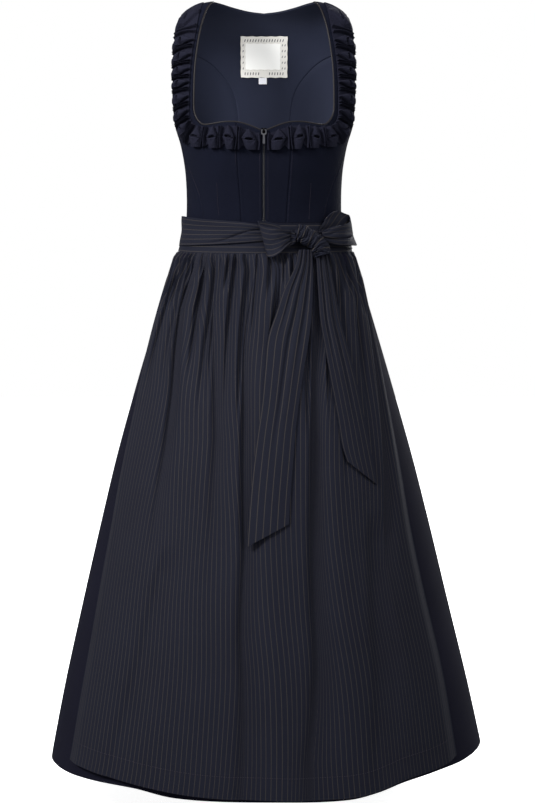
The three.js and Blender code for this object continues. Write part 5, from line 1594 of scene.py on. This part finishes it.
@dataclass
class Zip:
    """Nylon coil between the front edges, with its slider and pull."""

    pitch: float = 1.5

    def build(self) -> None:
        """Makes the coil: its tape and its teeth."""
        share = np.array([-1, -0.85, 0, 0.85, 1])
        radii = np.array([0.3, 0.62, 0.66, 0.62, 0.3])
        teeth = []
        for k, drop in enumerate(np.arange(214.5, WAIST - 1, self.pitch)):
            tilted = drop + (0.35 if k % 2 else -0.35) * share
            line = BODY.at(BODY.theta_at(1.55 * share, tilted), tilted, -0.7)
            lean = np.broadcast_to(np.array([0, -1.0, 0]), line.shape)
            teeth.append(tube(line, lean, radii, 8))
        down, across = grid(steps(60), steps(4))
        drop = mix(213.5, WAIST, down)
        theta = BODY.theta_at(mix(-1.6, 1.6, across), drop)
        outer, inner = panel(theta, drop, -1.15, 0.8)
        tape = put(ClothMesh(outer, inner, flat_uv(outer)).build("zip_tape", COIL), "zip_coil")
        coil = tubes_object("zip_teeth", teeth, COIL)
        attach(coil, "dress")
        log.info("zip: %s and %s", tape.name, coil.name)

    def plate(self, nodes: dict[str, bpy.types.Object]) -> None:
        """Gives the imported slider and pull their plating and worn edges."""
        for name, finish in (("zip_slider", SLIDER), ("zip_pull", PULL)):
            piece = nodes[name]
            piece.data.materials.clear()
            piece.data.materials.append(finish.material())
            bevel = piece.modifiers.new("worn_edges", "BEVEL")
            bevel.width = 0.22 * MM
            bevel.segments = 2
            bevel.limit_method = "ANGLE"
            bevel.angle_limit = math.radians(40)


@dataclass
class Studio:
    """White room, soft lights and the camera."""

    focal: float = 83.97
    location: tuple[float, float, float] = (0.0058, -3.1, -0.294)
    pitch: float = 6.61
    floor_level: float = -1.33

    def light(self, name: str, place: tuple[float, float, float], aim: tuple[float, float, float],
              size: float, power: float, spread: float = 180) -> None:
        """Adds a square soft light that faces a point and spreads over an angle in degrees."""
        data = bpy.data.lights.new(name, "AREA")
        data.spread = math.radians(spread)
        data.size = size
        data.energy = power
        lamp = add_object(name, data)
        lamp.location = place
        direction = np.array(aim) - np.array(place)
        flat = math.hypot(direction[0], direction[1])
        lamp.rotation_euler = (
            math.pi / 2 + math.atan2(direction[2], flat), 0,
            math.atan2(direction[1], direction[0]) - math.pi / 2,
        )

    def build(self) -> None:
        """Sets the stage."""
        scene = bpy.context.scene
        world = bpy.data.worlds.new("white_room")
        scene.world = world
        world.use_nodes = True
        tree = world.node_tree
        tree.nodes.clear()
        output = tree.nodes.new("ShaderNodeOutputWorld")
        path = add_node(tree, "LightPath")
        seen = add_node(tree, "Background", {"Color": (1, 1, 1, 1), "Strength": 1.0})
        cast = add_node(tree, "Background", {"Color": (0.95, 0.97, 1, 1), "Strength": 0.47})
        both = add_node(tree, "MixShader", links={
            0: path.outputs["Is Camera Ray"], 1: cast.outputs[0], 2: seen.outputs[0],
        })
        tree.links.new(both.outputs[0], output.inputs[0])
        scene.view_settings.view_transform = "Standard"
        self.light("key_left", (-2.1, -1.7, 1.1), (0, 0, -0.18), 0.9, 146)
        self.light("fill_right", (2.4, -1.8, 1.1), (0, 0, -0.3), 1.4, 42)
        self.light("neck_front", (0.1, -1.5, 1.25), (0, 0.1, -0.1), 0.8, 15)
        self.light("neck_soft", (0.0, -0.02, -0.28), (0, 0.04, -0.06), 0.08, 0.075, 80)
        self.light("back_soft", (1.6, 2.6, 1.2), (0, 0, -0.6), 1.2, 150)
        floor = bpy.data.meshes.new("floor")
        reach, level = 6.0, self.floor_level
        floor.from_pydata([(-reach, -reach, level), (reach, -reach, level), (reach, reach, level),
                           (-reach, reach, level)], [], [(0, 1, 2, 3)])
        ground = add_object("floor", floor)
        paint = bpy.data.materials.new("white_floor")
        paint.use_nodes = True
        shader = paint.node_tree.nodes["Principled BSDF"]
        shader.inputs["Base Color"].default_value = (0.9, 0.9, 0.9, 1)
        shader.inputs["Emission Color"].default_value = (1, 1, 1, 1)
        shader.inputs["Emission Strength"].default_value = 0.9
        floor.materials.append(paint)
        ground.visible_diffuse = False
        ground.visible_glossy = False
        ground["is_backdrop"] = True
        data = bpy.data.cameras.new("camera")
        data.lens = self.focal
        data.sensor_width = 36
        camera = add_object("camera", data)
        camera.location = self.location
        camera.rotation_euler = (math.radians(90 - self.pitch), 0, 0)
        scene.camera = camera


def corners() -> list[list[float]]:
    """Lowest and highest corner of what shows."""
    return [list(map(float, corner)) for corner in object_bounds()]


def main() -> None:
    """Builds the dress on its frame."""
    logging.basicConfig(level=logging.INFO, format="%(name)s: %(message)s")
    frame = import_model()
    Studio().build()
    Bodice().build()
    NecklineTrim().build()
    zipper = Zip()
    zipper.build()
    zipper.plate(frame["nodes"])
    Labels().build()
    Skirt().build()
    Apron().build()
    Ties().build()
    Bow().build()
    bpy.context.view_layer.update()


if __name__ == "__main__":
    main()
